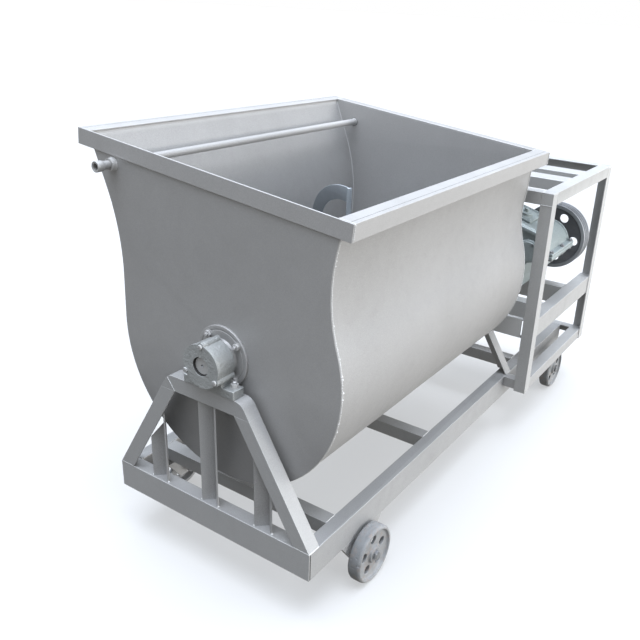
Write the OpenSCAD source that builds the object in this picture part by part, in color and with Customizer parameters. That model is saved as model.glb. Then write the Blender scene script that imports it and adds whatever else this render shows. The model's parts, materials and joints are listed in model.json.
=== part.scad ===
// Substrate mixer: a wheeled angle-iron frame with a tipping trough, a ribbon
// rotor, a parallel-shaft gear reducer and a three-groove input pulley.
// Row frame: +X from the near bearing towards the drive end, +Y to the high
// side of the trough, +Z up. The origin is the bottom centre of the whole
// object's box. Lengths are in millimetres.

/* [Base frame] */
// Outer width of the base frame
base_w = 800; // [780:5:820]
// Overall length of the frame
base_l = 2203; // [2190:1:2220]
// Height of the base channels
base_h = 97; // [95:1:100]
// Flange width of the base channels
chan_f = 48; // [44:1:50]
// Wall of the base channels
chan_t = 6; // [5:1:8]

/* [Angle iron] */
// Leg width of the angle iron
leg = 50; // [48:1:52]
// Thickness of the angle iron
leg_t = 5; // [4:1:6]

/* [Motor frame] */
// Distance from the near crossbar to the motor frame
mf_x = 1413; // [1411:1:1420]
// Overhang of the motor frame past the base on each side
mf_over = 102; // [95:1:110]
// Height of the motor frame's top above the base's underside
mf_top = 924; // [915:1:935]
// Height of the gearbox bed above the base's underside
bed_z = 380; // [378:1:382]

/* [Trough] */
// Radius of the drum outside
drum_r = 420; // [416:1:422]
// Thickness of the trough sheet
sheet_t = 4; // [3:1:5]
// Thickness of the end plates
plate_t = 5; // [4:1:6]
// Outer face of the near end plate
plate_near = 66; // [66:1:70]
// Outer face of the far end plate
plate_far = 1359; // [1355:1:1362]
// Height of the rim's top above the shaft
rim_z = 528; // [520:1:535]
// Tilt of the trough about the shaft at rest, in degrees
tilt = 6.2; // [0:0.1:6.2]

/* [Rotor] */
// Radius of the mixing shaft
shaft_r = 27.5; // [27.5:0.5:28.5]
// Outer radius of the ribbons
ribbon_r = 390; // [380:1:402]
// Radial width of the ribbons
ribbon_w = 52; // [40:1:60]
// Thickness of the ribbons
ribbon_t = 6; // [4:1:8]

/* [Pulley] */
// Outer radius of the input pulley
pulley_r = 152; // [148:1:156]
// Width of the pulley's rim
pulley_w = 74; // [74:1:76]

/* [Wheels] */
// Radius of the travel wheels
wheel_r = 98; // [95:1:100]
// Width of the travel wheels
wheel_w = 46; // [40:1:46]
// Height of the axles under the base's underside
axle_drop = 72; // [70:1:75]

/* [Hidden] */
$fn = 64;

// gear train: teeth, modules (mm) and backlash of each pair (mm)
z_out = 74;
z_ip = 17;
z_ig = 75;
z_in = 17;
m_out = 4;
m_in = 3;
backlash = 0.7;

// shaft line, from the base's centre line and underside
sy = -24;
sz = 600;
// gear centres
d_out = m_out * (z_out + z_ip) / 2;
d_in = m_in * (z_ig + z_in) / 2;
iy = sy - d_out;
py = iy - d_in;

// rim corners in the trough's own level frame
rim_yl = 622.7;
rim_yr = -385.4;

mf_hw = base_w / 2 + mf_over;
ground = -(axle_drop + wheel_r);

// box of the whole object, in the frame of the base
x_lo = -36;
x_hi = base_l;
y_hi = sy + rim_yl * cos(tilt) - (rim_z - leg) * sin(tilt);
y_lo = -mf_hw;
ox = -(x_lo + x_hi) / 2;
oy = -(y_lo + y_hi) / 2;
oz = -ground;

module at_row() { translate([ox, oy, oz]) children(); }
// trough frame: turned about the shaft by the rest tilt
module in_trough() { at_row() translate([0, sy, sz]) rotate([tilt, 0, 0]) children(); }

// 2D (y, z) outline extruded along X
module ext_x(x0, x1) { translate([x0, 0, 0]) rotate([90, 0, 90]) linear_extrude(height = x1 - x0) children(); }
// 2D (x, z) outline extruded along Y
module ext_y(y0, y1) { translate([0, y1, 0]) rotate([90, 0, 0]) linear_extrude(height = y1 - y0) children(); }
module box(x0, x1, y0, y1, z0, z1) { translate([x0, y0, z0]) cube([x1 - x0, y1 - y0, z1 - z0]); }
module xcyl(x0, x1, r, y, z) { translate([x0, y, z]) rotate([0, 90, 0]) cylinder(h = x1 - x0, r = r); }
module ycyl(y0, y1, r, x, z) { translate([x, y1, z]) rotate([90, 0, 0]) cylinder(h = y1 - y0, r = r); }
module zcyl(z0, z1, r, x, y) { translate([x, y, z0]) cylinder(h = z1 - z0, r = r); }
module xhex(x0, x1, af, y, z, a = 0) { translate([x0, y, z]) rotate([0, 90, 0]) rotate([0, 0, a]) cylinder(h = x1 - x0, r = af / sqrt(3), $fn = 6); }
module yhex(y0, y1, af, x, z) { translate([x, y1, z]) rotate([90, 0, 0]) cylinder(h = y1 - y0, r = af / sqrt(3), $fn = 6); }
module zhex(z0, z1, af, x, y) { translate([x, y, z0]) cylinder(h = z1 - z0, r = af / sqrt(3), $fn = 6); }

// angle section: corner at the origin, legs along +u and +v
module ang2(a = leg, t = leg_t) { polygon([[0, 0], [a, 0], [a, t], [t, t], [t, a], [0, a]]); }
// channel section: web along v from 0 to h at u = 0, flanges towards +u
module chan2(h, f, t) { polygon([[0, 0], [f, 0], [f, t], [t, t], [t, h - t], [f, h - t], [f, h], [0, h]]); }

// ---------- base frame ----------
module base_beam(s) {
  // web outside, flanges inwards; s = -1 right, 1 left; the web runs up to the crossbar's web, the flanges are coped
  union() {
    ext_x(chan_t + 1.2, chan_f + 1) translate([s * base_w / 2, 0]) mirror([s > 0 ? 1 : 0, 0]) square([chan_t, base_h]);
    ext_x(chan_f + 0.3, base_l - leg)
      translate([s * base_w / 2, 0]) mirror([s > 0 ? 1 : 0, 0]) chan2(base_h, chan_f, chan_t);
  }
}
module base_beam_right() { color("gainsboro") at_row() base_beam(-1); }
module base_beam_left() { color("gainsboro") at_row() base_beam(1); }
module base_crossbar_near() {
  color("silver") at_row() union() {
    box(0, chan_t, -base_w / 2, base_w / 2, 0, base_h);
    ext_y(-base_w / 2 + chan_t + 0.3, base_w / 2 - chan_t - 0.3) chan2(base_h, chan_f, chan_t);
  }
}
// three cross angles under the trough and the gearbox: top leg flush with the beams
module cross_angle(x) {
  translate([x, 0, base_h]) ext_y(-base_w / 2 + chan_f + 0.5, base_w / 2 - chan_f - 0.5) mirror([0, 1]) ang2();
}
module base_cross_angles() {
  color("silver") at_row() for (x = [148, 765, 1606]) cross_angle(x);
}

// ---------- near and far A-frames ----------
af_bo = base_w / 2;            // legs' outer half spread on the base
af_to = 147;                   // legs' outer half spread at the top
af_z1 = 510;                   // top of the bar
bar_h = leg;
// leg outline in (y, z), right-hand leg; the band between the outer and the inner edge
function leg_y(z) = af_bo - (af_bo - af_to) * (z - base_h) / (af_z1 - base_h);
lw = leg / cos(atan((af_bo - af_to) / (af_z1 - base_h)));
lt = leg_t / cos(atan((af_bo - af_to) / (af_z1 - base_h)));
module leg_face(s) {
  zt = af_z1 - bar_h;
  polygon([[s * leg_y(base_h), base_h], [s * leg_y(zt), zt], [s * (leg_y(zt) - lw), zt], [s * (leg_y(base_h) - lw), base_h]]);
}
module leg_edge(s) {
  zt = af_z1 - bar_h;
  polygon([[s * leg_y(base_h), base_h], [s * leg_y(zt), zt], [s * (leg_y(zt) - lt), zt], [s * (leg_y(base_h) - lt), base_h]]);
}
module a_legs() {
  for (s = [-1, 1]) {
    union() {
      ext_x(0, leg_t) leg_face(s);
      ext_x(0, leg) leg_edge(s);
    }
  }
}
// outline of the bar in (y, z) between x0 and x1, its shoulders rounded into the legs, moved inwards by t
sh_r = 40;
sh_a = atan((af_bo - af_to) / (af_z1 - base_h));
sh_t = sh_r * tan((90 - sh_a) / 2);
function bar2(t) = let (zb = af_z1 - bar_h - t, yb = leg_y(zb) - t / cos(sh_a), y1 = af_to - sh_t, z1 = af_z1 - sh_r)
  concat([[-yb, zb], [yb, zb]], arc([y1, z1], sh_r - t, sh_a, 90, 8), arc([-y1, z1], sh_r - t, 90, 180 - sh_a, 8));
module bar_block(x0, x1, t) { ext_x(x0, x1) polygon(bar2(t)); }
module a_bar(xb) {
  difference() {
    union() {
      bar_block(0, leg_t, 0);
      difference() { bar_block(0, leg, 0); bar_block(-1, leg + 1, leg_t); }
    }
    for (s = [-1, 1]) zcyl(af_z1 - 10, af_z1 + 10, 7, xb, sy + s * 80);
  }
}
module near_a_frame_legs() { color("silver") at_row() a_legs(); }
module near_a_frame_bar() { color("silver") at_row() a_bar(24); }
// three uprights of angle iron, turned 45 degrees, open side to the front
module upright(y, z1) {
  translate([44, y, base_h]) rotate([0, 0, 135]) linear_extrude(height = z1 - base_h) ang2();
}
module near_a_frame_posts() {
  color("silver") at_row() {
    upright(-4, af_z1 - leg_t - 0.5);
    intersection() { upright(216, 440); ext_x(leg_t + 0.3, 60) polygon([[0, base_h], [leg_y(base_h) - lw - 0.5, base_h], [leg_y(460) - lw - 0.5, 460], [0, 460]]); }
    intersection() { upright(-220, 440); ext_x(leg_t + 0.3, 60) polygon([[0, base_h], [-leg_y(base_h) + lw + 0.5, base_h], [-leg_y(460) + lw + 0.5, 460], [0, 460]]); }
  }
}
far_af_x = 1490;
module far_af() { translate([far_af_x, 0, 0]) mirror([1, 0, 0]) children(); }
module far_a_frame_legs() { color("silver") at_row() far_af() a_legs(); }
module far_a_frame_bar() { color("silver") at_row() far_af() a_bar(26); }

// ---------- motor frame ----------
mf_bot = base_h - leg;
module post(x, y, a) { translate([x, y, mf_bot]) rotate([0, 0, a]) linear_extrude(height = mf_top - leg_t - mf_bot - 0.2) ang2(); }
module motor_frame_posts() {
  color("gainsboro") at_row() {
    post(mf_x, -mf_hw, 0);
    post(mf_x, mf_hw, -90);
    post(base_l, -mf_hw, 90);
    post(base_l, mf_hw, 180);
  }
}
// bottom rails: side rails outside the base beams, and a cross rail at each end
module motor_frame_bottom_rails() {
  color("gainsboro") at_row() {
    // side rails: vertical leg outside, top leg inwards
    for (s = [-1, 1]) translate([0, s * (mf_hw - leg_t - 0.2), base_h])
      ext_x(mf_x + leg + 0.3, base_l - leg - 0.3) mirror([s > 0 ? 1 : 0, 0]) mirror([0, 1]) ang2();
    // stubs between the base beams and the posts at the near end
    for (s = [-1, 1]) translate([mf_x + leg_t + 0.2, 0, base_h])
      ext_y(s > 0 ? base_w / 2 + 0.5 : -mf_hw + leg_t + 0.5, s > 0 ? mf_hw - leg_t - 0.5 : -base_w / 2 - 0.5) mirror([0, 1]) ang2(leg - leg_t - 1, leg_t);
    // far rail across the whole width
    translate([base_l - leg_t - 0.2, 0, base_h]) ext_y(-mf_hw + leg_t + 0.5, mf_hw - leg_t - 0.5) mirror([0, 1]) mirror([1, 0]) ang2(leg - leg_t - 1, leg_t);
  }
}
module motor_frame_top_side_rails() {
  color("white") at_row() for (s = [-1, 1]) translate([0, s * mf_hw, mf_top])
    union() {
      ext_x(mf_x, base_l) mirror([s > 0 ? 1 : 0, 0]) polygon([[0, 0], [leg, 0], [leg, -leg_t], [0, -leg_t]]);
      ext_x(mf_x + leg + 0.3, base_l - leg - 0.3) mirror([s > 0 ? 1 : 0, 0]) polygon([[0, -leg_t], [leg_t, -leg_t], [leg_t, -leg], [0, -leg]]);
    }
}
// cross rails: near rail, two flat channels and the far rail; the near and far ones have their leg outside
slat_x = [1676, 1868];
slat_w = 100;
module motor_frame_top_cross_rails() {
  color("white") at_row() {
    translate([mf_x, 0, mf_top]) ext_y(-mf_hw + leg + 0.3, mf_hw - leg - 0.3) mirror([0, 1]) ang2();
    translate([base_l, 0, mf_top]) ext_y(-mf_hw + leg + 0.3, mf_hw - leg - 0.3) mirror([0, 1]) mirror([1, 0]) ang2();
    for (x = slat_x) translate([x, 0, mf_top]) ext_y(-mf_hw + leg + 0.3, mf_hw - leg - 0.3)
      mirror([0, 1]) polygon([[0, 0], [slat_w, 0], [slat_w, 46], [slat_w - 6, 46], [slat_w - 6, 6], [6, 6], [6, 46], [0, 46]]);
  }
}
// side channels that carry the gearbox bed
mid_h = 84;
module motor_frame_mid_rails() {
  color("gainsboro") at_row() for (s = [-1, 1]) translate([0, s * (mf_hw - leg_t - 0.2), bed_z - mid_h])
    ext_x(mf_x + leg_t + 0.3, base_l - leg_t - 0.3) mirror([s > 0 ? 1 : 0, 0]) chan2(mid_h, 52, leg_t);
}
bed_x = [1612, 1915];
bed_bolt = 30;
bed_f = 60;
module gearbox_bed_channels() {
  color("silver") at_row() {
    for (x = bed_x) difference() {
      ext_y(-mf_hw + 58, mf_hw - 58) translate([x, bed_z - mid_h]) chan2(mid_h, bed_f, leg_t);
      for (y = gb_foot_y) zcyl(bed_z - 20, bed_z + 5, 7, x + bed_bolt, y);
    }
    // near cross channel between the posts
    ext_y(-mf_hw + 58, mf_hw - 58) translate([mf_x + leg_t + 0.3, bed_z - mid_h]) chan2(mid_h, 21, leg_t);
  }
}

// ---------- wheels ----------
wheel_x = [290, 1989];
wheel_y = base_w / 2 + 9 + wheel_w / 2;
axle_r = 12.5;
module bracket(x, s) {
  difference() {
    ext_y(s > 0 ? base_w / 2 - 12 : -base_w / 2, s > 0 ? base_w / 2 : -base_w / 2 + 12)
      polygon([[x - 117, 0], [x + 117, 0], [x + 40, -axle_drop - 30], [x - 40, -axle_drop - 30]]);
    ycyl(-base_w, base_w, axle_r, x, -axle_drop);
  }
}
module wheel_brackets() { color("silver") at_row() for (x = wheel_x, s = [-1, 1]) bracket(x, s); }
module axle(x, s) {
  y0 = base_w / 2 - 26;
  y1 = base_w / 2 + 9 + wheel_w + 10;
  difference() {
    union() {
      ycyl(s > 0 ? y0 : -y1, s > 0 ? y1 : -y0, axle_r, x, -axle_drop);
      ycyl(s > 0 ? y0 - 8 : -y0 - 0.0, s > 0 ? y0 : -y0 + 8, axle_r + 8, x, -axle_drop);
      ycyl(s > 0 ? base_w / 2 + 0.3 : -base_w / 2 - 7.7, s > 0 ? base_w / 2 + 7.7 : -base_w / 2 - 0.3, axle_r + 7, x, -axle_drop);
    }
  }
}
module wheel_axles() { color("dimgray") at_row() for (x = wheel_x, s = [-1, 1]) axle(x, s); }
module axle_nut(x, s) {
  y0 = base_w / 2 + 9 + wheel_w + 0.6;
  difference() {
    yhex(s > 0 ? y0 : -y0 - 9, s > 0 ? y0 + 9 : -y0, 34, x, -axle_drop);
    ycyl(-base_w, base_w, axle_r, x, -axle_drop);
  }
}
module wheel_axle_nuts() { color("dimgray") at_row() for (x = wheel_x, s = [-1, 1]) axle_nut(x, s); }
// cast wheel: crowned tread, recessed web with five holes, hub
module wheel(x, s) {
  translate([x, s * wheel_y, -axle_drop]) rotate([s > 0 ? -90 : 90, 0, 0])
  difference() {
    rotate_extrude($fn = 96)
      polygon([[axle_r + 0.05, -wheel_w / 2], [28, -wheel_w / 2], [31, 2], [79, 2], [83, -wheel_w / 2], [wheel_r - 4, -wheel_w / 2], [wheel_r, -wheel_w / 2 + 5],
        [wheel_r, wheel_w / 2 - 7], [wheel_r - 5, wheel_w / 2], [86, wheel_w / 2], [83, 13], [30, 13], [27, wheel_w / 2], [axle_r + 0.05, wheel_w / 2]]);
    for (a = [0 : 72 : 288]) rotate([0, 0, a + 91]) translate([55, 0, -20]) cylinder(h = 40, r = 15);
  }
}
module wheel_near_right() { color("rosybrown") at_row() wheel(wheel_x[0], -1); }
module wheel_near_left() { color("rosybrown") at_row() wheel(wheel_x[0], 1); }
module wheel_far_right() { color("rosybrown") at_row() wheel(wheel_x[1], -1); }
module wheel_far_left() { color("rosybrown") at_row() wheel(wheel_x[1], 1); }

// ---------- shaft bearings ----------
hb_r = 66;
ft_z = af_z1 + 28;
cap_a = [94, 212, 336];
module lugs(x0, x1) { for (a = cap_a) xcyl(x0, x1, 12, sy + 64 * cos(a), sz + 64 * sin(a)); }
// barrel from x0 to x1 with a lug for each cap bolt, foot from f0 to f1
module housing(x0, x1, f0, f1, xb) {
  difference() {
    union() {
      xcyl(x0, x1, hb_r, sy, sz);
      lugs(x0, x1);
      box(f0, f1, sy - 54, sy + 54, af_z1, sz - 30);
      box(f0, f1, sy - 98, sy + 98, af_z1, ft_z);
    }
    xcyl(x0 - 1, x1 - 8, 58, sy, sz);
    xcyl(x0 - 1, x1 + 1, shaft_r + 3, sy, sz);
    for (s = [-1, 1]) zcyl(af_z1 - 5, af_z1 + 40, 7, xb, sy + s * 80);
  }
}
module near_bearing_housing() {
  color("silver") at_row() difference() {
    housing(-18, 42, -3, 42, 24);
    for (a = cap_a) xcyl(-19, 6, 4.5, sy + 64 * cos(a), sz + 64 * sin(a));
  }
}
module near_bearing_cap() {
  color("silver") at_row() difference() {
    union() { xcyl(-30, -18, 68, sy, sz); lugs(-30, -18); }
    xcyl(-31, -17, shaft_r + 2, sy, sz);
    for (a = cap_a) xcyl(-31, -17, 4.5, sy + 64 * cos(a), sz + 64 * sin(a));
  }
}
module near_bearing_cap_bolts() {
  color("gray") at_row() for (a = cap_a) {
    y = sy + 64 * cos(a);
    z = sz + 64 * sin(a);
    union() { xcyl(-33, 4, 4.4, y, z); xhex(-36, -30, 13, y, z); }
  }
}
module near_bearing_ring() {
  color("gray") at_row() difference() { xcyl(-17.5, 33.5, 57.9, sy, sz); xcyl(-18, 34, shaft_r + 0.05, sy, sz); }
}
module foot_bolts(x) {
  for (s = [-1, 1]) {
    y = sy + s * 80;
    union() {
      zcyl(af_z1 - leg_t - 12, ft_z + 19, 6.5, x, y);
      zhex(ft_z + 0.2, ft_z + 11, 20, x, y);
      zhex(af_z1 - leg_t - 9, af_z1 - leg_t - 0.2, 20, x, y);
    }
  }
}
module near_bearing_foot_bolts() { color("gray") at_row() foot_bolts(24); }
module far_bearing_housing() { color("silver") at_row() housing(1436, 1496, 1438, 1490, 1464); }
module far_bearing_ring() {
  color("gray") at_row() difference() { xcyl(1436.5, 1487.5, 57.9, sy, sz); xcyl(1436, 1488, shaft_r + 0.05, sy, sz); }
}
module far_bearing_foot_bolts() { color("gray") at_row() foot_bolts(1464); }

// ---------- trough ----------
// outline of the trough in its own level frame, moved inwards by t
wa = 24;      // where the right wall leaves the drum, above the horizontal
wr = 511;     // radius of the right wall's inward curl
la = 4;       // lean of the left wall
l_z = 110;    // where the left wall starts to flare
l_r = 675;    // radius of the flare
l_b = 28;     // final slope of the flare
c2 = [-(drum_r + wr) * cos(wa), (drum_r + wr) * sin(wa)];
ls = (l_z + drum_r * sin(la)) / cos(la);
lp = [drum_r * cos(la) + ls * sin(la), l_z];
c3 = lp + l_r * [cos(la), -sin(la)];
function arc(c, r, a0, a1, n) = [for (i = [0 : n]) c + r * [cos(a0 + (a1 - a0) * i / n), sin(a0 + (a1 - a0) * i / n)]];
function outline(t, zt) = let (
    e3 = c3 + (l_r + t) * [-cos(l_b), sin(l_b)],
    k = (zt - e3[1]) / cos(l_b),
    top_l = e3 + k * [sin(l_b), cos(l_b)],
    a_top = asin((zt - c2[1]) / (wr + t))
  ) concat(
    arc([0, 0], drum_r - t, 180 - wa, 360 - la, 60),
    arc(c3, l_r + t, 180 - la, 180 - l_b, 10),
    [top_l],
    arc(c2, wr + t, a_top, -wa, 16));
sheet_top = rim_z - leg_t;
module trough_sheet() {
  color("gainsboro") in_trough()
    ext_x(plate_near + plate_t, plate_far - plate_t) difference() {
      polygon(outline(0, sheet_top));
      // inside, open at the top
      polygon(concat(outline(sheet_t, sheet_top + 30)));
    }
}
module end_plate(x0, x1) {
  difference() {
    ext_x(x0, x1) polygon(outline(0, sheet_top));
    xcyl(x0 - 1, x1 + 1, 50, 0, 0);
  }
}
pipe_y = 474;
pipe_z = 452;
pipe_r = 13;
module near_end_plate() { color("gray") in_trough() difference() { end_plate(plate_near, plate_near + plate_t); xcyl(0, 200, pipe_r, pipe_y, pipe_z); } }
module far_end_plate() { color("slategray") in_trough() end_plate(plate_far - plate_t, plate_far); }
rim_x0 = 61;
rim_x1 = 1405;
// long rim angles: leg on top pointing inwards, leg outside pointing down
module rim_left() {
  color("white") in_trough() ext_x(rim_x0 + leg_t + 0.0, rim_x1 - leg_t)
    translate([rim_yl, rim_z]) mirror([1, 0]) mirror([0, 1]) ang2();
}
module rim_right() {
  color("white") in_trough() ext_x(rim_x0 + leg_t + 0.0, rim_x1 - leg_t)
    translate([rim_yr, rim_z]) mirror([0, 1]) ang2();
}
module rim_near() {
  color("silver") in_trough() box(rim_x0, rim_x0 + leg_t, rim_yr, rim_yl, rim_z - leg, rim_z);
}
module rim_far() {
  color("silver") in_trough() union() {
    box(rim_x1 - leg_t, rim_x1, rim_yr, rim_yl, rim_z - leg, rim_z);
    box(rim_x1 - leg, rim_x1 - leg_t, rim_yr + leg + 0.3, rim_yl - leg - 0.3, rim_z - leg_t, rim_z);
  }
}
// spray pipe along the high wall: open stub outside, capped at the far plate, holes underneath
module spray_pipe() {
  color("silver") in_trough() difference() {
    union() {
      xcyl(3, plate_far - plate_t - 0.3, pipe_r, pipe_y, pipe_z);
      xcyl(plate_near - 16, plate_near, pipe_r + 6, pipe_y, pipe_z);
    }
    xcyl(2, plate_far - plate_t - 4, pipe_r - 3, pipe_y, pipe_z);
    for (x = [140 : 90 : 1310]) translate([x, pipe_y, pipe_z]) rotate([-30, 0, 0]) translate([0, 0, -20]) cylinder(h = 20, r = 2.5, $fn = 24);
  }
}
gl_r = 96;
module gland(x0, s) {
  // flange on the plate, boss outwards and a spigot through the plate
  difference() {
    union() {
      xcyl(s > 0 ? x0 - 7 : x0, s > 0 ? x0 : x0 + 7, gl_r, 0, 0);
      xcyl(s > 0 ? x0 - 15 : x0, s > 0 ? x0 : x0 + 15, 58, 0, 0);
      xcyl(s > 0 ? x0 : x0 - plate_t - 6, s > 0 ? x0 + plate_t + 6 : x0, 49.9, 0, 0);
    }
    xcyl(x0 - 30, x0 + 30, shaft_r + 0.08, 0, 0);
    for (a = [45 : 90 : 315]) xcyl(x0 - 30, x0 + 30, 5.5, 78 * cos(a), 78 * sin(a));
  }
}
module near_gland_flange() { color("gray") in_trough() gland(plate_near, 1); }
module far_gland_flange() { color("gray") in_trough() gland(plate_far, -1); }
module gland_bolt(x0, s) {
  for (a = [45 : 90 : 315]) {
    y = 78 * cos(a);
    z = 78 * sin(a);
    union() {
      xcyl(s > 0 ? x0 - 21 : x0, s > 0 ? x0 : x0 + 21, 5.4, y, z);
      xhex(s > 0 ? x0 - 16.5 : x0 + 7.2, s > 0 ? x0 - 7.2 : x0 + 16.5, 17, y, z);
    }
  }
}
module gland_bolts() { color("silver") in_trough() { gland_bolt(plate_near, 1); gland_bolt(plate_far, -1); } }

// ---------- rotor ----------
cpl_x0 = 1532;
cpl_xm = 1584;
cpl_x1 = 1636;
module main_shaft() { color("dimgray") at_row() xcyl(-22, cpl_xm - 0.5, shaft_r, sy, sz); }
// two half-length ribbons of one hand, half a turn apart: the far one starts at the top in the
// middle of the trough, the near one ends at the bottom there
rib_x0 = 100;
rib_xm = 700;
rib_x1 = 1300;
rib_pitch = -0.24;   // degrees of turn per mm along the shaft
function rib_a(x) = rib_pitch * (x - rib_xm);
// arms: flat bars from a hub on the shaft to the ribbons' outer edge
module arm(x, a, two = false) {
  translate([x, sy, sz]) rotate([a, 0, 0]) difference() {
    union() {
      box(-10, 10, -4, 4, two ? -ribbon_r : 0, ribbon_r);
      rotate([0, 90, 0]) translate([0, 0, -20]) cylinder(h = 40, r = shaft_r + 12);
    }
    rotate([0, 90, 0]) translate([0, 0, -40]) cylinder(h = 80, r = shaft_r);
  }
}
rib_step = (rib_x1 - rib_xm) / 2;
module rotor_arms() {
  color("slategray") at_row() {
    arm(rib_xm, 0, true);
    for (k = [1, 2]) {
      arm(rib_xm + k * rib_step, rib_a(rib_xm + k * rib_step));
      arm(rib_xm - k * rib_step, rib_a(rib_xm - k * rib_step) + 180);
    }
  }
}
// flat helical ribbon: its wide faces look along the shaft
module ribbon(xa, xb, r0, r1, t, ph, n) {
  pts = [for (i = [0 : n]) let (
      x = xa + (xb - xa) * i / n,
      a = rib_a(x) + ph,
      u = [0, -sin(a), cos(a)])
    each [[x - t / 2, 0, 0] + r0 * u, [x + t / 2, 0, 0] + r0 * u, [x + t / 2, 0, 0] + r1 * u, [x - t / 2, 0, 0] + r1 * u]];
  faces = concat(
    [[0, 1, 2], [0, 2, 3]],
    [for (i = [0 : n - 1], k = [0 : 3]) let (a = 4 * i + k, b = 4 * i + (k + 1) % 4) each [[a, a + 4, b + 4], [a, b + 4, b]]],
    [[4 * n + 3, 4 * n + 2, 4 * n + 1], [4 * n + 3, 4 * n + 1, 4 * n]]);
  polyhedron(points = pts, faces = faces, convexity = 10);
}
module ribbons() {
  color("slategray") at_row() translate([0, sy, sz]) {
    ribbon(rib_xm, rib_x1, ribbon_r - ribbon_w, ribbon_r, ribbon_t, 0, 32);
    ribbon(rib_x0, rib_xm, ribbon_r - ribbon_w, ribbon_r, ribbon_t, 180, 32);
  }
}

// coupling between the mixing shaft and the gearbox
module shaft_coupling() {
  color("dimgray") at_row() {
    difference() {
      union() { xcyl(cpl_x0, cpl_xm, 44, sy, sz); xcyl(cpl_xm - 14, cpl_xm, 75, sy, sz); }
      xcyl(cpl_x0 - 1, cpl_xm + 1, shaft_r, sy, sz);
    }
    difference() {
      union() { xcyl(cpl_xm + 0.3, cpl_x1, 44, sy, sz); xcyl(cpl_xm + 0.3, cpl_xm + 14, 75, sy, sz); }
      xcyl(cpl_xm, cpl_x1 + 1, out_r, sy, sz);
    }
    for (a = [0 : 60 : 300], x = [cpl_xm - 22, cpl_xm + 14.2]) xhex(x, x + 7.8, 16, sy + 60 * cos(a), sz + 60 * sin(a));
  }
}

// ---------- gears ----------
out_r = 27.5;
mid_r = 17.5;
in_r = 17.5;
function inv(a) = tan(a) - a * PI / 180;
// half angle of a tooth at radius r, degrees; pressure angle 20
function half(z, m, r) = let (rp = m * z / 2, rb = rp * cos(20), rr = max(r, rb),
    h0 = (PI / 2 / z - backlash / 2 / (2 * rp)) + inv(20))
  (h0 - inv(acos(min(1, rb / rr)))) * 180 / PI;
function tooth(z, m, i) = let (rp = m * z / 2, ra = rp + m * 0.97, rf = rp - 1.25 * m, c = 180 + 360 * i / z,
    rs = z > 40 ? [rf, ra] : [rf, max(rf, rp * cos(20)) + 0.02, rp, ra])
  concat([for (r = rs) r * [cos(c - half(z, m, r)), sin(c - half(z, m, r))]],
         [for (k = [len(rs) - 1 : -1 : 0]) rs[k] * [cos(c + half(z, m, rs[k])), sin(c + half(z, m, rs[k]))]]);
module gear2(z, m) { polygon([for (i = [0 : z - 1]) each tooth(z, m, i)]); }
module gear(x0, x1, z, m, y, r_bore) {
  translate([0, y, sz]) difference() { ext_x(x0, x1) gear2(z, m); xcyl(x0 - 1, x1 + 1, r_bore, 0, 0); }
}
// gearbox: inside from gx0 to gx1
gx0 = 1670;
gx1 = 1915;
g_wall = 10;
s2x0 = 1722; s2x1 = 1762;
s1x0 = 1832; s1x1 = 1862;
module output_shaft() { color("dimgray") at_row() xcyl(cpl_xm + 0.5, gx1 - 3, out_r, sy, sz); }
module output_gear() {
  color("gray") at_row() difference() {
    gear(s2x0, s2x1, z_out, m_out, sy, out_r);
    for (a = [0 : 60 : 300]) xcyl(s2x0 - 1, s2x1 + 1, 22, sy + 92 * cos(a), sz + 92 * sin(a));
  }
}
module intermediate_shaft() {
  color("gray") at_row() union() {
    xcyl(gx0 + 3, gx1 - 3, mid_r, iy, sz);
    gear(s2x0 - 3, s2x1 + 3, z_ip, m_out, iy, mid_r - 1);
  }
}
module intermediate_gear() {
  color("gray") at_row() difference() {
    gear(s1x0, s1x1, z_ig, m_in, iy, mid_r);
    for (a = [0 : 60 : 300]) xcyl(s1x0 - 1, s1x1 + 1, 18, iy + 66 * cos(a), sz + 66 * sin(a));
  }
}
module input_shaft() {
  color("gray") at_row() union() {
    xcyl(gx0 + 3, px0 + 80, in_r, py, sz);
    gear(s1x0 - 3, s1x1 + 3, z_in, m_in, py, in_r - 1);
  }
}

// ---------- gearbox case ----------
g_ro = 176;      // outside of the cover over the output gear
g_ri = 92;       // outside of the cover over the input pinion
gy1 = sy + g_ro;
gy0 = py - g_ri;
// outline of the upper half in (y, z), moved inwards by t; tangent line between the two arcs
function cover2(t) = let (d = sy - py, ta = asin((g_ro - g_ri) / d))
  concat(arc([sy, sz], g_ro - t, 0, 90 + ta, 18), arc([py, sz], g_ri - t, 90 + ta, 180, 12));
g_fl = 25;       // split flange outwards
gb_bolt_y = [gy0 - 14, (py + iy) / 2, (iy + sy) / 2 - 9, sy + 100, gy1 + 14];
gb_bolt_x = gx0 - 13;
gb_low = -285;   // the deep part of the case starts here
gb_foot_y = [gb_low + 30, gy1 - 30];
// outline of the lower half in (y, z), moved inwards by t
function case2(t) = [[gy0 + t, sz], [gy0 + t, sz - 44 + t], [py - 6, sz - 48 + t], [py + 26 + t, sz - 98 + t / 2],
  [gb_low + t, 430], [gb_low + t, bed_z + 16 + t], [gy1 - t, bed_z + 16 + t], [gy1 - t, sz]];
module shaft_bores() {
  for (p = [[sy, 52, 67], [iy, 36, 47], [py, 36, 47]]) {
    xcyl(gx0 - 40, gx1 + 20, p[1], p[0], sz);
    // the split flange is cut back round the bearing caps
    xcyl(gx0 - 40, gx0 - 14, p[2], p[0], sz);
    xcyl(gx1 + 4, gx1 + 20, p[2], p[0], sz);
  }
}
module bosses() {
  for (x = [[gx0 - 14, gx0 + g_wall], [gx1 - g_wall, gx1 + 4]]) {
    xcyl(x[0], x[1], 72, sy, sz);
    xcyl(x[0], x[1], 52, iy, sz);
    xcyl(x[0], x[1], 52, py, sz);
  }
}
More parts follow.
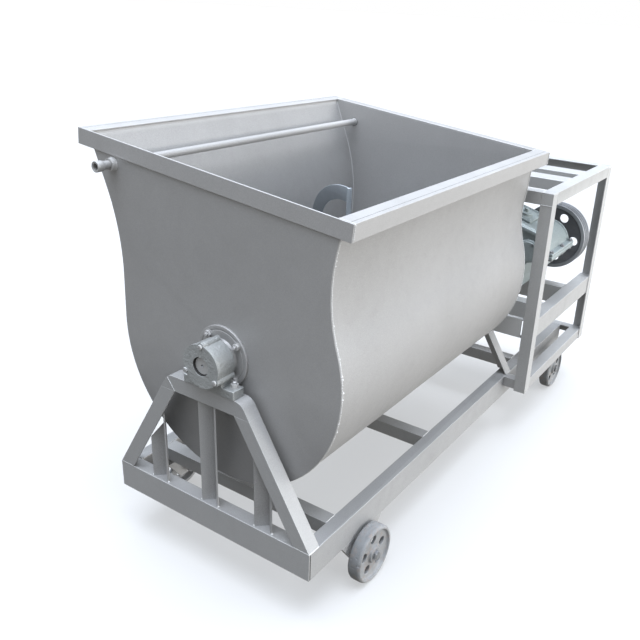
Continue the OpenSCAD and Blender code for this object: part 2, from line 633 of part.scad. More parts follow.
module split_holes() {
  for (y = gb_bolt_y) zcyl(sz - 30, sz + 30, 5.5, gb_bolt_x, y);
  for (y = [gy0 - 14, gy1 + 14], x = [(gx0 + gx1) / 2, gx1 - 8]) zcyl(sz - 30, sz + 30, 5.5, x, y);
}
module gearbox_case() {
  color("darkseagreen") at_row() difference() {
    union() {
      ext_x(gx0, gx1) polygon(case2(0));
      // split flange
      box(gx0 - g_fl, gx1 + 8, gy0 - g_fl, gy1 + g_fl, sz - 14, sz);
      // foot flange
      box(bed_x[0] + 8, bed_x[1] + 52, gb_low, gy1, bed_z, bed_z + 18);
      bosses();
      // stiffening ribs under the bosses
      for (y = [sy, iy]) box(gx0 - 12, gx0 + 1, y - 6, y + 6, bed_z + 16, sz - 40);
    }
    ext_x(gx0 + g_wall, gx1 - g_wall) polygon(concat([[gy0 + g_wall, sz + 1]], case2(g_wall), [[gy1 - g_wall, sz + 1]]));
    box(gx0 - 60, gx1 + 100, gy0 - 60, gy1 + 60, sz, sz + 200);
    shaft_bores();
    split_holes();
    for (x = bed_x, y = gb_foot_y) zcyl(bed_z - 10, bed_z + 30, 7, x + bed_bolt, y);
  }
}
module gearbox_cover() {
  color("darkseagreen") at_row() difference() {
    union() {
      ext_x(gx0, gx1) polygon(cover2(0));
      box(gx0 - g_fl, gx1 + 8, gy0 - g_fl, gy1 + g_fl, sz + 0.1, sz + 14);
      bosses();
      // raised bands round the cover's two ends
      ext_x(gx0, gx0 + 10) polygon(cover2(-6));
      difference() { ext_x(gx0 - 14, gx0 + 1) polygon(cover2(-2)); ext_x(gx0 - 15, gx0 + 0.5) polygon(cover2(14)); }
      ext_x(gx1 - 10, gx1) polygon(cover2(-6));
    }
    ext_x(gx0 + g_wall, gx1 - g_wall) polygon(cover2(g_wall));
    box(gx0 - 60, gx1 + 100, -700, 500, sz - 100, sz + 0.1);
    shaft_bores();
    split_holes();
    // opening under the inspection cover
    translate([(gx0 + gx1) / 2, iy - 20, sz]) rotate([hatch_a, 0, 0]) box(-50, 50, -40, 40, 80, 220);
  }
}
hatch_a = asin((g_ro - g_ri) / (sy - py));
module split_bolt(x, y) {
  union() { zcyl(sz - 22, sz + 24, 5.4, x, y); zhex(sz + 14.2, sz + 21, 17, x, y); zhex(sz - 22, sz - 14.2, 17, x, y); }
}
module gearbox_bolts() {
  color("gray") at_row() {
    for (y = gb_bolt_y) split_bolt(gb_bolt_x, y);
    for (y = [gy0 - 14, gy1 + 14], x = [(gx0 + gx1) / 2, gx1 - 8]) split_bolt(x, y);
  }
}
// bearing caps, open ones on the output's near side and the input's far side
module bcap(x0, x1, r, y, rb) { difference() { xcyl(x0, x1, r, y, sz); if (rb > 0) xcyl(x0 - 1, x1 + 1, rb, y, sz); } }
module gearbox_bearing_caps() {
  color("darkseagreen") at_row() {
    bcap(gx0 - 22, gx0 - 14.1, 66, sy, out_r + 0.5);
    bcap(gx1 + 4.1, gx1 + 10, 66, sy, 0);
    bcap(gx0 - 22, gx0 - 14.1, 46, iy, 0);
    bcap(gx1 + 4.1, gx1 + 10, 46, iy, 0);
    bcap(gx0 - 22, gx0 - 14.1, 46, py, 0);
    bcap(gx1 + 4.1, gx1 + 12, 46, py, in_r + 0.5);
  }
}
module gearbox_bearings() {
  color("gray") at_row() {
    for (x = [gx0 - 8, gx1 - 20]) {
      bcap(x, x + 22, 51.9, sy, out_r + 0.05);
      bcap(x, x + 20, 35.9, iy, mid_r + 0.05);
      bcap(x, x + 20, 35.9, py, in_r + 0.05);
    }
  }
}
module inspection_cover() {
  color("gray") at_row() translate([(gx0 + gx1) / 2, iy - 20, sz]) rotate([hatch_a, 0, 0]) {
    hz = hatch_z;
    union() {
      box(-66, 66, -56, 56, hz + 0.3, hz + 10);
      translate([0, 0, hz + 10]) cylinder(h = 12, r = 30);
      translate([0, 0, hz + 22]) cylinder(h = 16, r = 11);
      for (x = [-56, 56], y = [-46, 46]) translate([x, y, hz + 10]) cylinder(h = 6, r = 6, $fn = 6);
    }
  }
}
// height of the cover's sloping top over the point that the hatch turns about
hatch_z = g_ri + (iy - 20 - py) * sin(hatch_a);
module gearbox_foot_bolts() {
  color("gray") at_row() for (x0 = bed_x, y = gb_foot_y) let (x = x0 + bed_bolt)
    union() { zcyl(bed_z - 20, bed_z + 34, 6.9, x, y); zhex(bed_z + 18.2, bed_z + 28, 22, x, y); zhex(bed_z - 18, bed_z - leg_t - 0.2, 22, x, y); }
}

// ---------- input pulley ----------
px0 = 1970;
px1 = px0 + pulley_w;
hub_x = px0 + 60;
module drive_pulley() {
  color("dimgray") at_row() translate([px0, py, sz]) rotate([0, 90, 0]) difference() {
    rotate_extrude($fn = 128)
      polygon(concat(
        [[in_r, -28], [36, -28], [38, 10], [pulley_r - 20, 10], [pulley_r - 16, 0], [pulley_r - 3, 0], [pulley_r, 3]],
        [for (k = [0 : 2]) each [[pulley_r, 8 + 20 * k], [pulley_r - 12, 13 + 20 * k], [pulley_r - 12, 19 + 20 * k], [pulley_r, 24 + 20 * k]]],
        [[pulley_r, pulley_w - 3], [pulley_r - 3, pulley_w], [pulley_r - 16, pulley_w], [pulley_r - 20, 22], [38, 22], [36, hub_x - px0], [in_r, hub_x - px0]]));
    for (a = [0 : 72 : 288]) rotate([0, 0, a + 203.6]) translate([98, 0, -5]) cylinder(h = 100, r = 21);
  }
}
module pulley_nut() {
  color("gray") at_row() difference() { union() { xcyl(hub_x, hub_x + 4, 26, py, sz); xhex(hub_x + 4, hub_x + 16, 36, py, sz); } xcyl(px0, px1 + 60, in_r, py, sz); }
}

base_beam_right();
base_beam_left();
base_crossbar_near();
base_cross_angles();
near_a_frame_legs();
near_a_frame_bar();
near_a_frame_posts();
far_a_frame_legs();
far_a_frame_bar();
motor_frame_posts();
motor_frame_bottom_rails();
motor_frame_top_side_rails();
motor_frame_top_cross_rails();
motor_frame_mid_rails();
gearbox_bed_channels();
wheel_brackets();
wheel_axles();
wheel_axle_nuts();
wheel_near_right();
wheel_near_left();
wheel_far_right();
wheel_far_left();
near_bearing_housing();
near_bearing_cap();
near_bearing_cap_bolts();
near_bearing_ring();
near_bearing_foot_bolts();
far_bearing_housing();
far_bearing_ring();
far_bearing_foot_bolts();
trough_sheet();
near_end_plate();
far_end_plate();
rim_left();
rim_right();
rim_near();
rim_far();
spray_pipe();
near_gland_flange();
far_gland_flange();
gland_bolts();
main_shaft();
rotor_arms();
ribbons();
shaft_coupling();
output_shaft();
output_gear();
intermediate_shaft();
intermediate_gear();
input_shaft();
drive_pulley();
pulley_nut();
gearbox_case();
gearbox_cover();
gearbox_bolts();
gearbox_bearing_caps();
gearbox_bearings();
inspection_cover();
gearbox_foot_bolts();
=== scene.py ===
import json
import math
import random

import bmesh
import bpy
from mathutils import Matrix, Vector

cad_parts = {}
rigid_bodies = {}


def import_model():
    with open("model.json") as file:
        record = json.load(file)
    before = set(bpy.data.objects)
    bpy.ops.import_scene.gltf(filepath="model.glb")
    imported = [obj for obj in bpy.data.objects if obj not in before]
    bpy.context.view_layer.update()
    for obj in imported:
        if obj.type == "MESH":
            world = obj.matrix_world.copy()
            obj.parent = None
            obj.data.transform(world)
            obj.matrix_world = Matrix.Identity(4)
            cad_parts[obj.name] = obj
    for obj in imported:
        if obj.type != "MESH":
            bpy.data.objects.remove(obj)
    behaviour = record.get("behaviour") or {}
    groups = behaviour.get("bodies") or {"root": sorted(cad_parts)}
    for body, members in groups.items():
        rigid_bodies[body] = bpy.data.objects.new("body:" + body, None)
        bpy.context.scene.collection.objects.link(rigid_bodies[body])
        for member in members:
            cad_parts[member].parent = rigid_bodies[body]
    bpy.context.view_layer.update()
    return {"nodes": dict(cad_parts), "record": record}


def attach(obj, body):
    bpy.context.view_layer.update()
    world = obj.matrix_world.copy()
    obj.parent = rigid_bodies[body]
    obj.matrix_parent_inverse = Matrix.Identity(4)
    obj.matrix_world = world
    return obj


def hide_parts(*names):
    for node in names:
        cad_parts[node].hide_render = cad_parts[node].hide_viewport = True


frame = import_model()

# The base's own frame, in millimetres, as the CAD is built: X = 0 at the near crossbar's face, Z = 0 at the
# base's underside. D moves it to the row frame.
TILT = math.radians(6.2)
CT, ST = math.cos(TILT), math.sin(TILT)
Y_HI = -24 + 622.7 * CT - 478 * ST
D = Vector((-(-36 + 2203) / 2, -(-502 + Y_HI) / 2, 170.0))
SY, SZ = -24.0, 600.0


def P(x, y, z):
    """A point of the base's frame, mm, in the row frame, metres."""
    return (Vector((x, y, z)) + D) / 1000


def TP(x, yl, zl):
    """A point of the trough's own level frame, mm, in the row frame, metres."""
    return P(x, SY + yl * CT - zl * ST, SZ + yl * ST + zl * CT)


# ---------------------------------------------------------------- camera
R = [(0.552780935, -0.832172393, 0.043844567), (-0.304073365, -0.250411593, -0.919148205), (0.775868949, 0.49475564, -0.391464214)]
cam_data = bpy.data.cameras.new("camera")
cam = bpy.data.objects.new("camera", cam_data)
bpy.context.scene.collection.objects.link(cam)
loc = P(-1368.4915, -1390.3171, 1564.2398)
m = Matrix.Identity(4)
for i in range(3):
    m[i][0] = R[0][i]
    m[i][1] = -R[1][i]
    m[i][2] = -R[2][i]
    m[i][3] = loc[i]
cam.matrix_world = m
cam_data.sensor_fit = "HORIZONTAL"
cam_data.sensor_width = 36
cam_data.lens = 737.0676 / 640 * 36
cam_data.shift_x = -(355.0249 - 320) / 640
cam_data.shift_y = (318.6730 - 320) / 640
cam_data.clip_start = 0.05
cam_data.clip_end = 400
bpy.context.scene.camera = cam


# ---------------------------------------------------------------- materials
def new_mat(name):
    mt = bpy.data.materials.new(name)
    mt.use_nodes = True
    nt = mt.node_tree
    for n in list(nt.nodes):
        nt.nodes.remove(n)
    out = nt.nodes.new("ShaderNodeOutputMaterial")
    bs = nt.nodes.new("ShaderNodeBsdfPrincipled")
    nt.links.new(bs.outputs[0], out.inputs[0])
    return mt, nt, bs


def srgb(r, g, b):
    f = lambda c: (c / 12.92) if c <= 0.04045 else ((c + 0.055) / 1.055) ** 2.4
    return (f(r / 255), f(g / 255), f(b / 255), 1)


def noise(nt, co, scale, detail=4, rough=0.55, dist=0.0):
    n = nt.nodes.new("ShaderNodeTexNoise")
    n.inputs["Scale"].default_value = scale
    n.inputs["Detail"].default_value = detail
    n.inputs["Roughness"].default_value = rough
    n.inputs["Distortion"].default_value = dist
    nt.links.new(co, n.inputs["Vector"])
    return n.outputs["Fac"]


def ramp(nt, fac, stops):
    n = nt.nodes.new("ShaderNodeValToRGB")
    cr = n.color_ramp
    while len(cr.elements) > 1:
        cr.elements.remove(cr.elements[-1])
    cr.elements[0].position = stops[0][0]
    cr.elements[0].color = stops[0][1]
    for p, c in stops[1:]:
        e = cr.elements.new(p)
        e.color = c
    nt.links.new(fac, n.inputs[0])
    return n.outputs[0]


def g(v):
    return (v, v, v, 1)


def mix(nt, fac, a, b, blend="MIX"):
    n = nt.nodes.new("ShaderNodeMix")
    n.data_type = "RGBA"
    n.blend_type = blend
    for sock, val in ((n.inputs[0], fac), (n.inputs[6], a), (n.inputs[7], b)):
        if isinstance(val, (int, float)):
            sock.default_value = val
        elif isinstance(val, tuple):
            sock.default_value = val
        else:
            nt.links.new(val, sock)
    return n.outputs[2]


def math_node(nt, op, a, b=None):
    n = nt.nodes.new("ShaderNodeMath")
    n.operation = op
    for sock, val in ((n.inputs[0], a), (n.inputs[1], b)):
        if val is None:
            continue
        if isinstance(val, (int, float)):
            sock.default_value = val
        else:
            nt.links.new(val, sock)
    return n.outputs[0]


def bump(nt, bs, height, strength, distance):
    n = nt.nodes.new("ShaderNodeBump")
    n.inputs["Strength"].default_value = strength
    n.inputs["Distance"].default_value = distance
    nt.links.new(height, n.inputs["Height"])
    nt.links.new(n.outputs[0], bs.inputs["Normal"])
    return n


def coords(nt, scale=None):
    tc = nt.nodes.new("ShaderNodeTexCoord")
    o = tc.outputs["Object"]
    if scale is not None:
        mp = nt.nodes.new("ShaderNodeMapping")
        mp.inputs["Scale"].default_value = scale
        nt.links.new(o, mp.inputs[0])
        o = mp.outputs[0]
    return o


def enamel(name, base, dark, dust_and_shade, rough=0.34, peel=0.25, grime=0.5, spec=0.5, metallic=0.0, streak=None, painted_low_shade=False, lump=0.0):
    """Sprayed enamel: large soft tone changes, fine dust, painted highlights on convex edges, painted shade in creases
    and, if asked, darker towards the bottom, orange peel.
    """
    mt, nt, bs = new_mat(name)
    co = coords(nt)
    big = noise(nt, co, 2.2, 3, 0.5)
    mid = noise(nt, co, 14, 5, 0.6)
    fine = noise(nt, co, 90, 3, 0.6)
    c1 = mix(nt, ramp(nt, big, [(0.35, g(0)), (0.7, g(1))]), base, dark)
    c2 = mix(nt, ramp(nt, mid, [(0.52, g(0)), (0.78, g(grime * 0.5))]), c1, dust_and_shade)
    c3 = mix(nt, ramp(nt, fine, [(0.62, g(0)), (0.75, g(grime * 0.18))]), c2, tuple(0.35 * v for v in dust_and_shade[:3]) + (1,))
    if streak:
        st = noise(nt, coords(nt, streak), 6, 4, 0.6)
        c3 = mix(nt, ramp(nt, st, [(0.55, g(0)), (0.8, g(0.22))]), c3, dust_and_shade)
    grain = noise(nt, co, 420, 2, 0.7)
    c3 = mix(nt, ramp(nt, grain, [(0.40, g(0.30)), (0.50, g(0))]), c3, tuple(0.62 * v for v in base[:3]) + (1,))
    c3 = mix(nt, ramp(nt, grain, [(0.55, g(0)), (0.66, g(0.30))]), c3, tuple(min(1.0, 1.35 * v) for v in base[:3]) + (1,))
    geo = nt.nodes.new("ShaderNodeNewGeometry")
    # painted shade: concave creases are darkened to a dark tint of the dust colour, standing in for shade in the
    # hollows
    painted_crease_shade = ramp(nt, geo.outputs["Pointiness"], [(0.44, g(0.42)), (0.49, g(0))])
    c4 = mix(nt, painted_crease_shade, c3, tuple(0.3 * v for v in dust_and_shade[:3]) + (1,))
    # painted highlight: convex edges are lightened, standing in for the light that rounded edges catch
    painted_edge_highlight = ramp(nt, geo.outputs["Pointiness"], [(0.515, g(0)), (0.60, g(0.75))])
    c4 = mix(nt, painted_edge_highlight, c4, tuple(min(1.0, 1.75 * v) for v in base[:3]) + (1,))
    # painted shade: the colour grows darker towards the bottom, standing in for the shade that falls low on the surface
    if painted_low_shade:
        sp = nt.nodes.new("ShaderNodeSeparateXYZ")
        nt.links.new(co, sp.inputs[0])
        hgt = math_node(nt, "ADD", sp.outputs["Z"], math_node(nt, "MULTIPLY", mid, 0.12))
        c4 = mix(nt, ramp(nt, hgt, [(0.30, g(0.85)), (0.80, g(0))]), c4, tuple(0.42 * v for v in base[:3]) + (1,))
    nt.links.new(c4, bs.inputs["Base Color"])
    bs.inputs["Metallic"].default_value = metallic
    bs.inputs["Specular IOR Level"].default_value = spec
    r = nt.nodes.new("ShaderNodeMapRange")
    r.inputs["From Min"].default_value = 0.3
    r.inputs["From Max"].default_value = 0.75
    r.inputs["To Min"].default_value = rough - 0.06
    r.inputs["To Max"].default_value = rough + 0.16
    nt.links.new(mid, r.inputs["Value"])
    nt.links.new(r.outputs[0], bs.inputs["Roughness"])
    op = noise(nt, co, 190, 2, 0.5)
    h = math_node(nt, "ADD", math_node(nt, "MULTIPLY", op, 0.22), math_node(nt, "MULTIPLY", mid, 1.0))
    if lump:
        rough_cast = noise(nt, co, 95, 4, 0.65)
        h = math_node(nt, "ADD", h, math_node(nt, "MULTIPLY", rough_cast, lump))
    bump(nt, bs, h, peel, 0.0012)
    return mt


def iron(name, base, dark, rust, rough=0.6, rust_amount=0.4, bump_s=0.6, metallic=0.0, spec=0.35):
    mt, nt, bs = new_mat(name)
    co = coords(nt)
    a = noise(nt, co, 8, 6, 0.6)
    b = noise(nt, co, 55, 5, 0.65)
    c = noise(nt, co, 320, 3, 0.6)
    c1 = mix(nt, ramp(nt, a, [(0.35, g(0)), (0.65, g(1))]), base, dark)
    c2 = mix(nt, ramp(nt, b, [(0.5, g(0)), (0.72, g(rust_amount))]), c1, rust)
    nt.links.new(c2, bs.inputs["Base Color"])
    bs.inputs["Metallic"].default_value = metallic
    bs.inputs["Specular IOR Level"].default_value = spec
    r = nt.nodes.new("ShaderNodeMapRange")
    r.inputs["To Min"].default_value = rough - 0.12
    r.inputs["To Max"].default_value = rough + 0.15
    nt.links.new(b, r.inputs["Value"])
    nt.links.new(r.outputs[0], bs.inputs["Roughness"])
    h = math_node(nt, "ADD", math_node(nt, "MULTIPLY", b, 0.6), math_node(nt, "MULTIPLY", c, 0.5))
    bump(nt, bs, h, bump_s, 0.0015)
    return mt


def turned(name, base, dark, rough=0.32, axis="X"):
    """Turned or zinc-plated steel: fine rings across the axis, dull spots."""
    mt, nt, bs = new_mat(name)
    sc = {"X": (900, 12, 12), "Y": (12, 900, 12), "Z": (12, 12, 900), "N": (60, 60, 60)}[axis]
    rings = noise(nt, coords(nt, sc), 1.0, 3, 0.6)
    a = noise(nt, coords(nt), 30, 5, 0.6)
    c1 = mix(nt, ramp(nt, a, [(0.4, g(0)), (0.7, g(1))]), base, dark)
    c2 = mix(nt, ramp(nt, rings, [(0.4, g(0)), (0.7, g(0.35))]), c1, tuple(0.6 * v for v in dark[:3]) + (1,))
    nt.links.new(c2, bs.inputs["Base Color"])
    bs.inputs["Metallic"].default_value = 0.85
    r = nt.nodes.new("ShaderNodeMapRange")
    r.inputs["To Min"].default_value = rough - 0.08
    r.inputs["To Max"].default_value = rough + 0.2
    nt.links.new(a, r.inputs["Value"])
    nt.links.new(r.outputs[0], bs.inputs["Roughness"])
    bump(nt, bs, rings, 0.12, 0.0004)
    return mt


M = {}
M["frame_paint"] = enamel("m_frame_paint", srgb(157, 157, 156), srgb(149, 148, 148), srgb(124, 121, 115), rough=0.40, peel=0.3, grime=0.5, metallic=0.35)
M["trough_paint"] = enamel("m_trough_paint", srgb(160, 159, 158), srgb(154, 153, 152), srgb(132, 130, 125), rough=0.41, peel=0.11, grime=0.35, streak=(1, 1, 0.12), metallic=0.35)
# a darker copy of the trough paint for the near end plate, which faces away from the light: painted shade
M["shaded_plate_paint"] = enamel("m_plate_paint", srgb(150, 149, 148), srgb(144, 143, 142), srgb(132, 130, 125), rough=0.41, peel=0.11, grime=0.35, metallic=0.35, painted_low_shade=True)
# m_gap: a near-black colour for cracks, joints and bores, standing in for the shade inside them: painted shade
mt, nt, bs = new_mat("m_gap")
nt.links.new(mix(nt, noise(nt, coords(nt), 60, 3, 0.6), srgb(34, 34, 34), srgb(58, 57, 55)), bs.inputs["Base Color"])
bs.inputs["Roughness"].default_value = 0.8
M["gap"] = mt
# a lighter copy of the frame paint for the motor frame's posts and top rails, far up where more light falls: painted
# light
M["lit_motor_paint"] = enamel("m_motor_paint", srgb(166, 166, 165), srgb(158, 158, 157), srgb(136, 132, 126), rough=0.40, peel=0.3, grime=0.5, metallic=0.3)
# a darker copy of the frame paint for the base beams, low and near where less light falls: painted shade
M["shaded_beam_paint"] = enamel("m_beam_paint", srgb(148, 148, 148), srgb(139, 139, 139), srgb(118, 116, 111), rough=0.42, peel=0.3, grime=0.6, metallic=0.35)
M["cast_paint"] = enamel("m_cast_paint", srgb(154, 156, 155), srgb(132, 134, 133), srgb(176, 178, 176), rough=0.42, peel=1.0, grime=0.9, metallic=0.35, lump=2.6)
M["rotor_steel"] = enamel("m_rotor", srgb(143, 149, 154), srgb(126, 132, 138), srgb(96, 92, 88), rough=0.42, peel=0.5, grime=0.7, metallic=0.2)
M["machined_steel"] = turned("m_machined", srgb(150, 152, 154), srgb(104, 106, 108), 0.33)
M["zinc_fasteners"] = turned("m_zinc", srgb(164, 165, 167), srgb(124, 125, 127), 0.46, "N")
M["wheel_iron"] = iron("m_wheel", srgb(140, 141, 142), srgb(110, 112, 113), srgb(140, 122, 110), rough=0.58, rust_amount=0.55, bump_s=1.0, metallic=0.05)
M["gearbox_paint"] = enamel("m_gearbox", srgb(140, 148, 148), srgb(122, 131, 131), srgb(160, 163, 160), rough=0.42, peel=0.9, grime=0.6, metallic=0.15, lump=1.2)
M["pulley_iron"] = iron("m_pulley", srgb(112, 113, 116), srgb(88, 89, 92), srgb(104, 96, 88), rough=0.5, rust_amount=0.3, bump_s=0.6)
M["groove"] = iron("m_groove", srgb(160, 162, 165), srgb(138, 140, 143), srgb(116, 110, 104), rough=0.42, rust_amount=0.2, bump_s=0.3, metallic=0.35)
M["weld"] = enamel("m_weld", srgb(168, 168, 167), srgb(148, 148, 147), srgb(124, 121, 116), rough=0.52, peel=0.6, grime=0.6, metallic=0.15)

SLOT = {s["node"]: s["material_slot"] for s in frame["record"]["subparts"]}
BODY = {n: b for b, ns in frame["record"]["behaviour"]["bodies"].items() for n in ns}
for name, ob in frame["nodes"].items():
    ob.data.materials.clear()
    ob.data.materials.append(M[SLOT[name]])
    for p in ob.data.polygons:
        p.material_index = 0


def shade(me, angle=40):
    """Smooth faces, with the edges over that many degrees sharp."""
    bm = bmesh.new()
    bm.from_mesh(me)
    lim = math.radians(angle)
    for f in bm.faces:
        f.smooth = True
    for e in bm.edges:
        e.smooth = not (len(e.link_faces) != 2 or e.calc_face_angle(0) > lim)
    bm.to_mesh(me)
    bm.free()


def obj_from_bm(bm, name, mat, body, smooth=40, replaces=()):
    me = bpy.data.meshes.new(name)
    bm.normal_update()
    bm.to_mesh(me)
    bm.free()
    ob = bpy.data.objects.new(name, me)
    bpy.context.scene.collection.objects.link(ob)
    me.materials.append(M[mat])
    shade(me, smooth)
    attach(ob, body)
    if replaces:
        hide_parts(*replaces)
    return ob


def done(bm, name, mat, body, smooth=35, replaces=(), local=False):
    """Takes a mesh made in millimetres, in the base's frame or the trough's own, to the row frame."""
    for v in bm.verts:
        v.co = TP(*v.co) if local else P(*v.co)
    bmesh.ops.recalc_face_normals(bm, faces=bm.faces)
    return obj_from_bm(bm, name, mat, body, smooth, replaces)


def weighted(ob):
    """Normals weighted by face area, so that a big flat face with rounded edges shades flat."""
    w = ob.modifiers.new("w", "WEIGHTED_NORMAL")
    w.keep_sharp = True
    w.weight = 100
    deps = bpy.context.evaluated_depsgraph_get()
    me = bpy.data.meshes.new_from_object(ob.evaluated_get(deps))
    ob.modifiers.remove(w)
    old = ob.data
    ob.data = me
    bpy.data.meshes.remove(old)
    return ob


def cad_copy(node, width=1.2, segments=2, angle=35, mat=None, smooth=50, name=None):
    """A copy of a CAD node with its planar faces cleaned and its edges rounded, which replaces the node."""
    src = frame["nodes"][node]
    bm = bmesh.new()
    bm.from_mesh(src.data)
    bmesh.ops.remove_doubles(bm, verts=bm.verts, dist=1e-6)
    bmesh.ops.dissolve_limit(bm, angle_limit=math.radians(0.6), verts=bm.verts, edges=bm.edges, delimit={"NORMAL"})
    bm.normal_update()
    edges = [e for e in bm.edges if len(e.link_faces) == 2 and e.calc_face_angle(0) > math.radians(angle)]
    if width > 0 and edges:
        bmesh.ops.bevel(bm, geom=edges, offset=width / 1000, offset_type="OFFSET", segments=segments, profile=0.6, affect="EDGES", clamp_overlap=True, miter_outer="SHARP")
    bmesh.ops.remove_doubles(bm, verts=bm.verts, dist=2e-6)
    return weighted(obj_from_bm(bm, name or ("v_" + node), mat or SLOT[node], BODY[node], smooth, (node,)))


def applied(ob):
    """The mesh of an object with its modifiers applied; the object is removed."""
    deps = bpy.context.evaluated_depsgraph_get()
    me = bpy.data.meshes.new_from_object(ob.evaluated_get(deps))
    bpy.data.objects.remove(ob)
    return me


def temp(bm, name="tmp"):
    me = bpy.data.meshes.new(name)
    bm.to_mesh(me)
    bm.free()
    ob = bpy.data.objects.new(name, me)
    bpy.context.scene.collection.objects.link(ob)
    return ob


def cast(node, voxel=2.0, smooth_n=4, mat=None, extra=None, angle=55):
    """A casting: the node's solid, with anything extra joined on, melted together so that each corner is a fillet."""
    bm = bmesh.new()
    bm.from_mesh(frame["nodes"][node].data)
    bmesh.ops.remove_doubles(bm, verts=bm.verts, dist=1e-6)
    if extra:
        e = bmesh.new()
        extra(e)
        for v in e.verts:
            v.co = P(*v.co)
        bmesh.ops.recalc_face_normals(e, faces=e.faces)
        me = bpy.data.meshes.new("e")
        e.to_mesh(me)
        e.free()
        bm.from_mesh(me)
    ob = temp(bm)
    r = ob.modifiers.new("r", "REMESH")
    r.mode = "VOXEL"
    r.voxel_size = voxel / 1000
    s = ob.modifiers.new("s", "SMOOTH")
    s.factor = 0.5
    s.iterations = smooth_n
    me = applied(ob)
    bm = bmesh.new()
    bm.from_mesh(me)
    return obj_from_bm(bm, "v_" + node, mat or SLOT[node], BODY[node], angle, (node,))


AX = {"X": (1, 0, 0), "-X": (-1, 0, 0), "Y": (0, 1, 0), "-Y": (0, -1, 0), "Z": (0, 0, 1), "-Z": (0, 0, -1)}


def at(axis, c):
    """The matrix that takes local Z to that axis, at the point c, mm."""
    q = Vector(AX[axis]).to_track_quat("Z", "Y")
    return Matrix.Translation(Vector(c)) @ q.to_matrix().to_4x4()


def fillet(pts, rad, n=3, closed=False):
    """A polyline with its corners rounded; a point may carry its own radius as a third number."""
    out = []
    m = len(pts)
    for i, p in enumerate(pts):
        q = Vector(p[:2])
        if not closed and i in (0, m - 1):
            out.append(tuple(q))
            continue
        a, b = Vector(pts[i - 1][:2]), Vector(pts[(i + 1) % m][:2])
        u, v = a - q, b - q
        lu, lv = u.length, v.length
        d = min(p[2] if len(p) > 2 else rad, 0.45 * lu, 0.45 * lv)
        if d < 0.02:
            out.append(tuple(q))
            continue
        u, v = u / lu, v / lv
        for k in range(n + 1):
            t = k / n
            w = (1 - t) ** 2 * (q + u * d) + 2 * t * (1 - t) * q + t * t * (q + v * d)
            out.append(tuple(w))
    return out


def lathe(bm, prof, mx, seg=64, closed=False):
    """Turns the profile [(z, r)] about local Z."""
    cs = [(math.cos(2 * math.pi * k / seg), math.sin(2 * math.pi * k / seg)) for k in range(seg)]
    rings = []
    for z, r in prof:
        if r < 1e-4:
            rings.append([bm.verts.new(mx @ Vector((0, 0, z)))])
        else:
            rings.append([bm.verts.new(mx @ Vector((r * c, r * s, z))) for c, s in cs])
    pairs = list(zip(rings[:-1], rings[1:]))
    if closed:
        pairs.append((rings[-1], rings[0]))
    for a, b in pairs:
        for k in range(seg):
            j = (k + 1) % seg
            if len(a) == 1 and len(b) > 1:
                bm.faces.new((a[0], b[k], b[j]))
            elif len(b) == 1 and len(a) > 1:
                bm.faces.new((a[k], a[j], b[0]))
            elif len(a) > 1:
                bm.faces.new((a[k], a[j], b[j], b[k]))


def hexa(bm, mx, af, z0, z1, bore=0.0, both=False, seg=48, turn=0.0):
    """A hexagon nut or head from z0 to z1, its corners turned off to a cone at the top, or at both ends."""
    rr = []
    for k in range(seg):
        a = 2 * math.pi * k / seg
        rr.append((af / 2) / math.cos((a % (math.pi / 3)) - math.pi / 6))
    def ring(f):
        return [bm.verts.new(mx @ Vector((f(k)[0] * math.cos(2 * math.pi * k / seg + turn), f(k)[0] * math.sin(2 * math.pi * k / seg + turn), f(k)[1]))) for k in range(seg)]
    drop = lambda k: max(0.0, rr[k] - af * 0.495) * 0.6
    rings = []
    if both:
        rings.append(ring(lambda k: (af * 0.46, z0)))
    rings.append(ring(lambda k: (rr[k], z0 + (drop(k) if both else 0.0))))
    rings.append(ring(lambda k: (rr[k], z1 - drop(k))))
    rings.append(ring(lambda k: (af * 0.46, z1)))
    if bore > 0:
        rings.append(ring(lambda k: (bore * 1.08, z1)))
        rings.append(ring(lambda k: (bore, z1 - 0.8)))
        rings.append(ring(lambda k: (bore, z0)))
        pairs = list(zip(rings, rings[1:] + rings[:1]))
    else:
        pairs = list(zip(rings[:-1], rings[1:]))
        c = bm.verts.new(mx @ Vector((0, 0, z1)))
        d = bm.verts.new(mx @ Vector((0, 0, z0)))
        for k in range(seg):
            j = (k + 1) % seg
            bm.faces.new((rings[-1][k], rings[-1][j], c))
            bm.faces.new((rings[0][j], rings[0][k], d))
    for a, b in pairs:
        for k in range(seg):
            j = (k + 1) % seg
            bm.faces.new((a[k], a[j], b[j], b[k]))


def thread(bm, mx, r, z0, z1, pitch=1.75, seg=24):
    """A threaded end: a stack of ridges with a chamfered tip at z1."""
    prof = [(z0, 0.0), (z0, r * 0.9)]
    z = z0 + 0.2
    while z < z1 - pitch * 1.4:
        prof += [(z + 0.1 * pitch, r * 0.88), (z + 0.45 * pitch, r), (z + 0.6 * pitch, r), (z + 0.95 * pitch, r * 0.88)]
        z += pitch
    prof += [(z1 - 1.0, r * 0.93), (z1, r * 0.74), (z1, 0.0)]
    lathe(bm, prof, mx, seg)


def washer(bm, mx, r0, r1, z0, z1, seg=40):
    lathe(bm, fillet([(z0, r0), (z0, r1), (z1, r1), (z1, r0)], 0.4, 2, True), mx, seg, True)


def stud_nut(bm, mx, af, seat, h, r, tip, spring=True, turn=0.3):
    """Flat washer, spring washer, nut and the bolt's threaded tip, from the seat upwards."""
    z = seat
    washer(bm, mx, r, af * 0.66, z, z + 1.3)
    z += 1.35
    if spring:
        washer(bm, mx, r, af * 0.5, z, z + 1.6)
        z += 1.65
    hexa(bm, mx, af, z, z + h, r * 0.95, True, turn=turn)
    thread(bm, mx, r * 0.97, z + 1, tip)


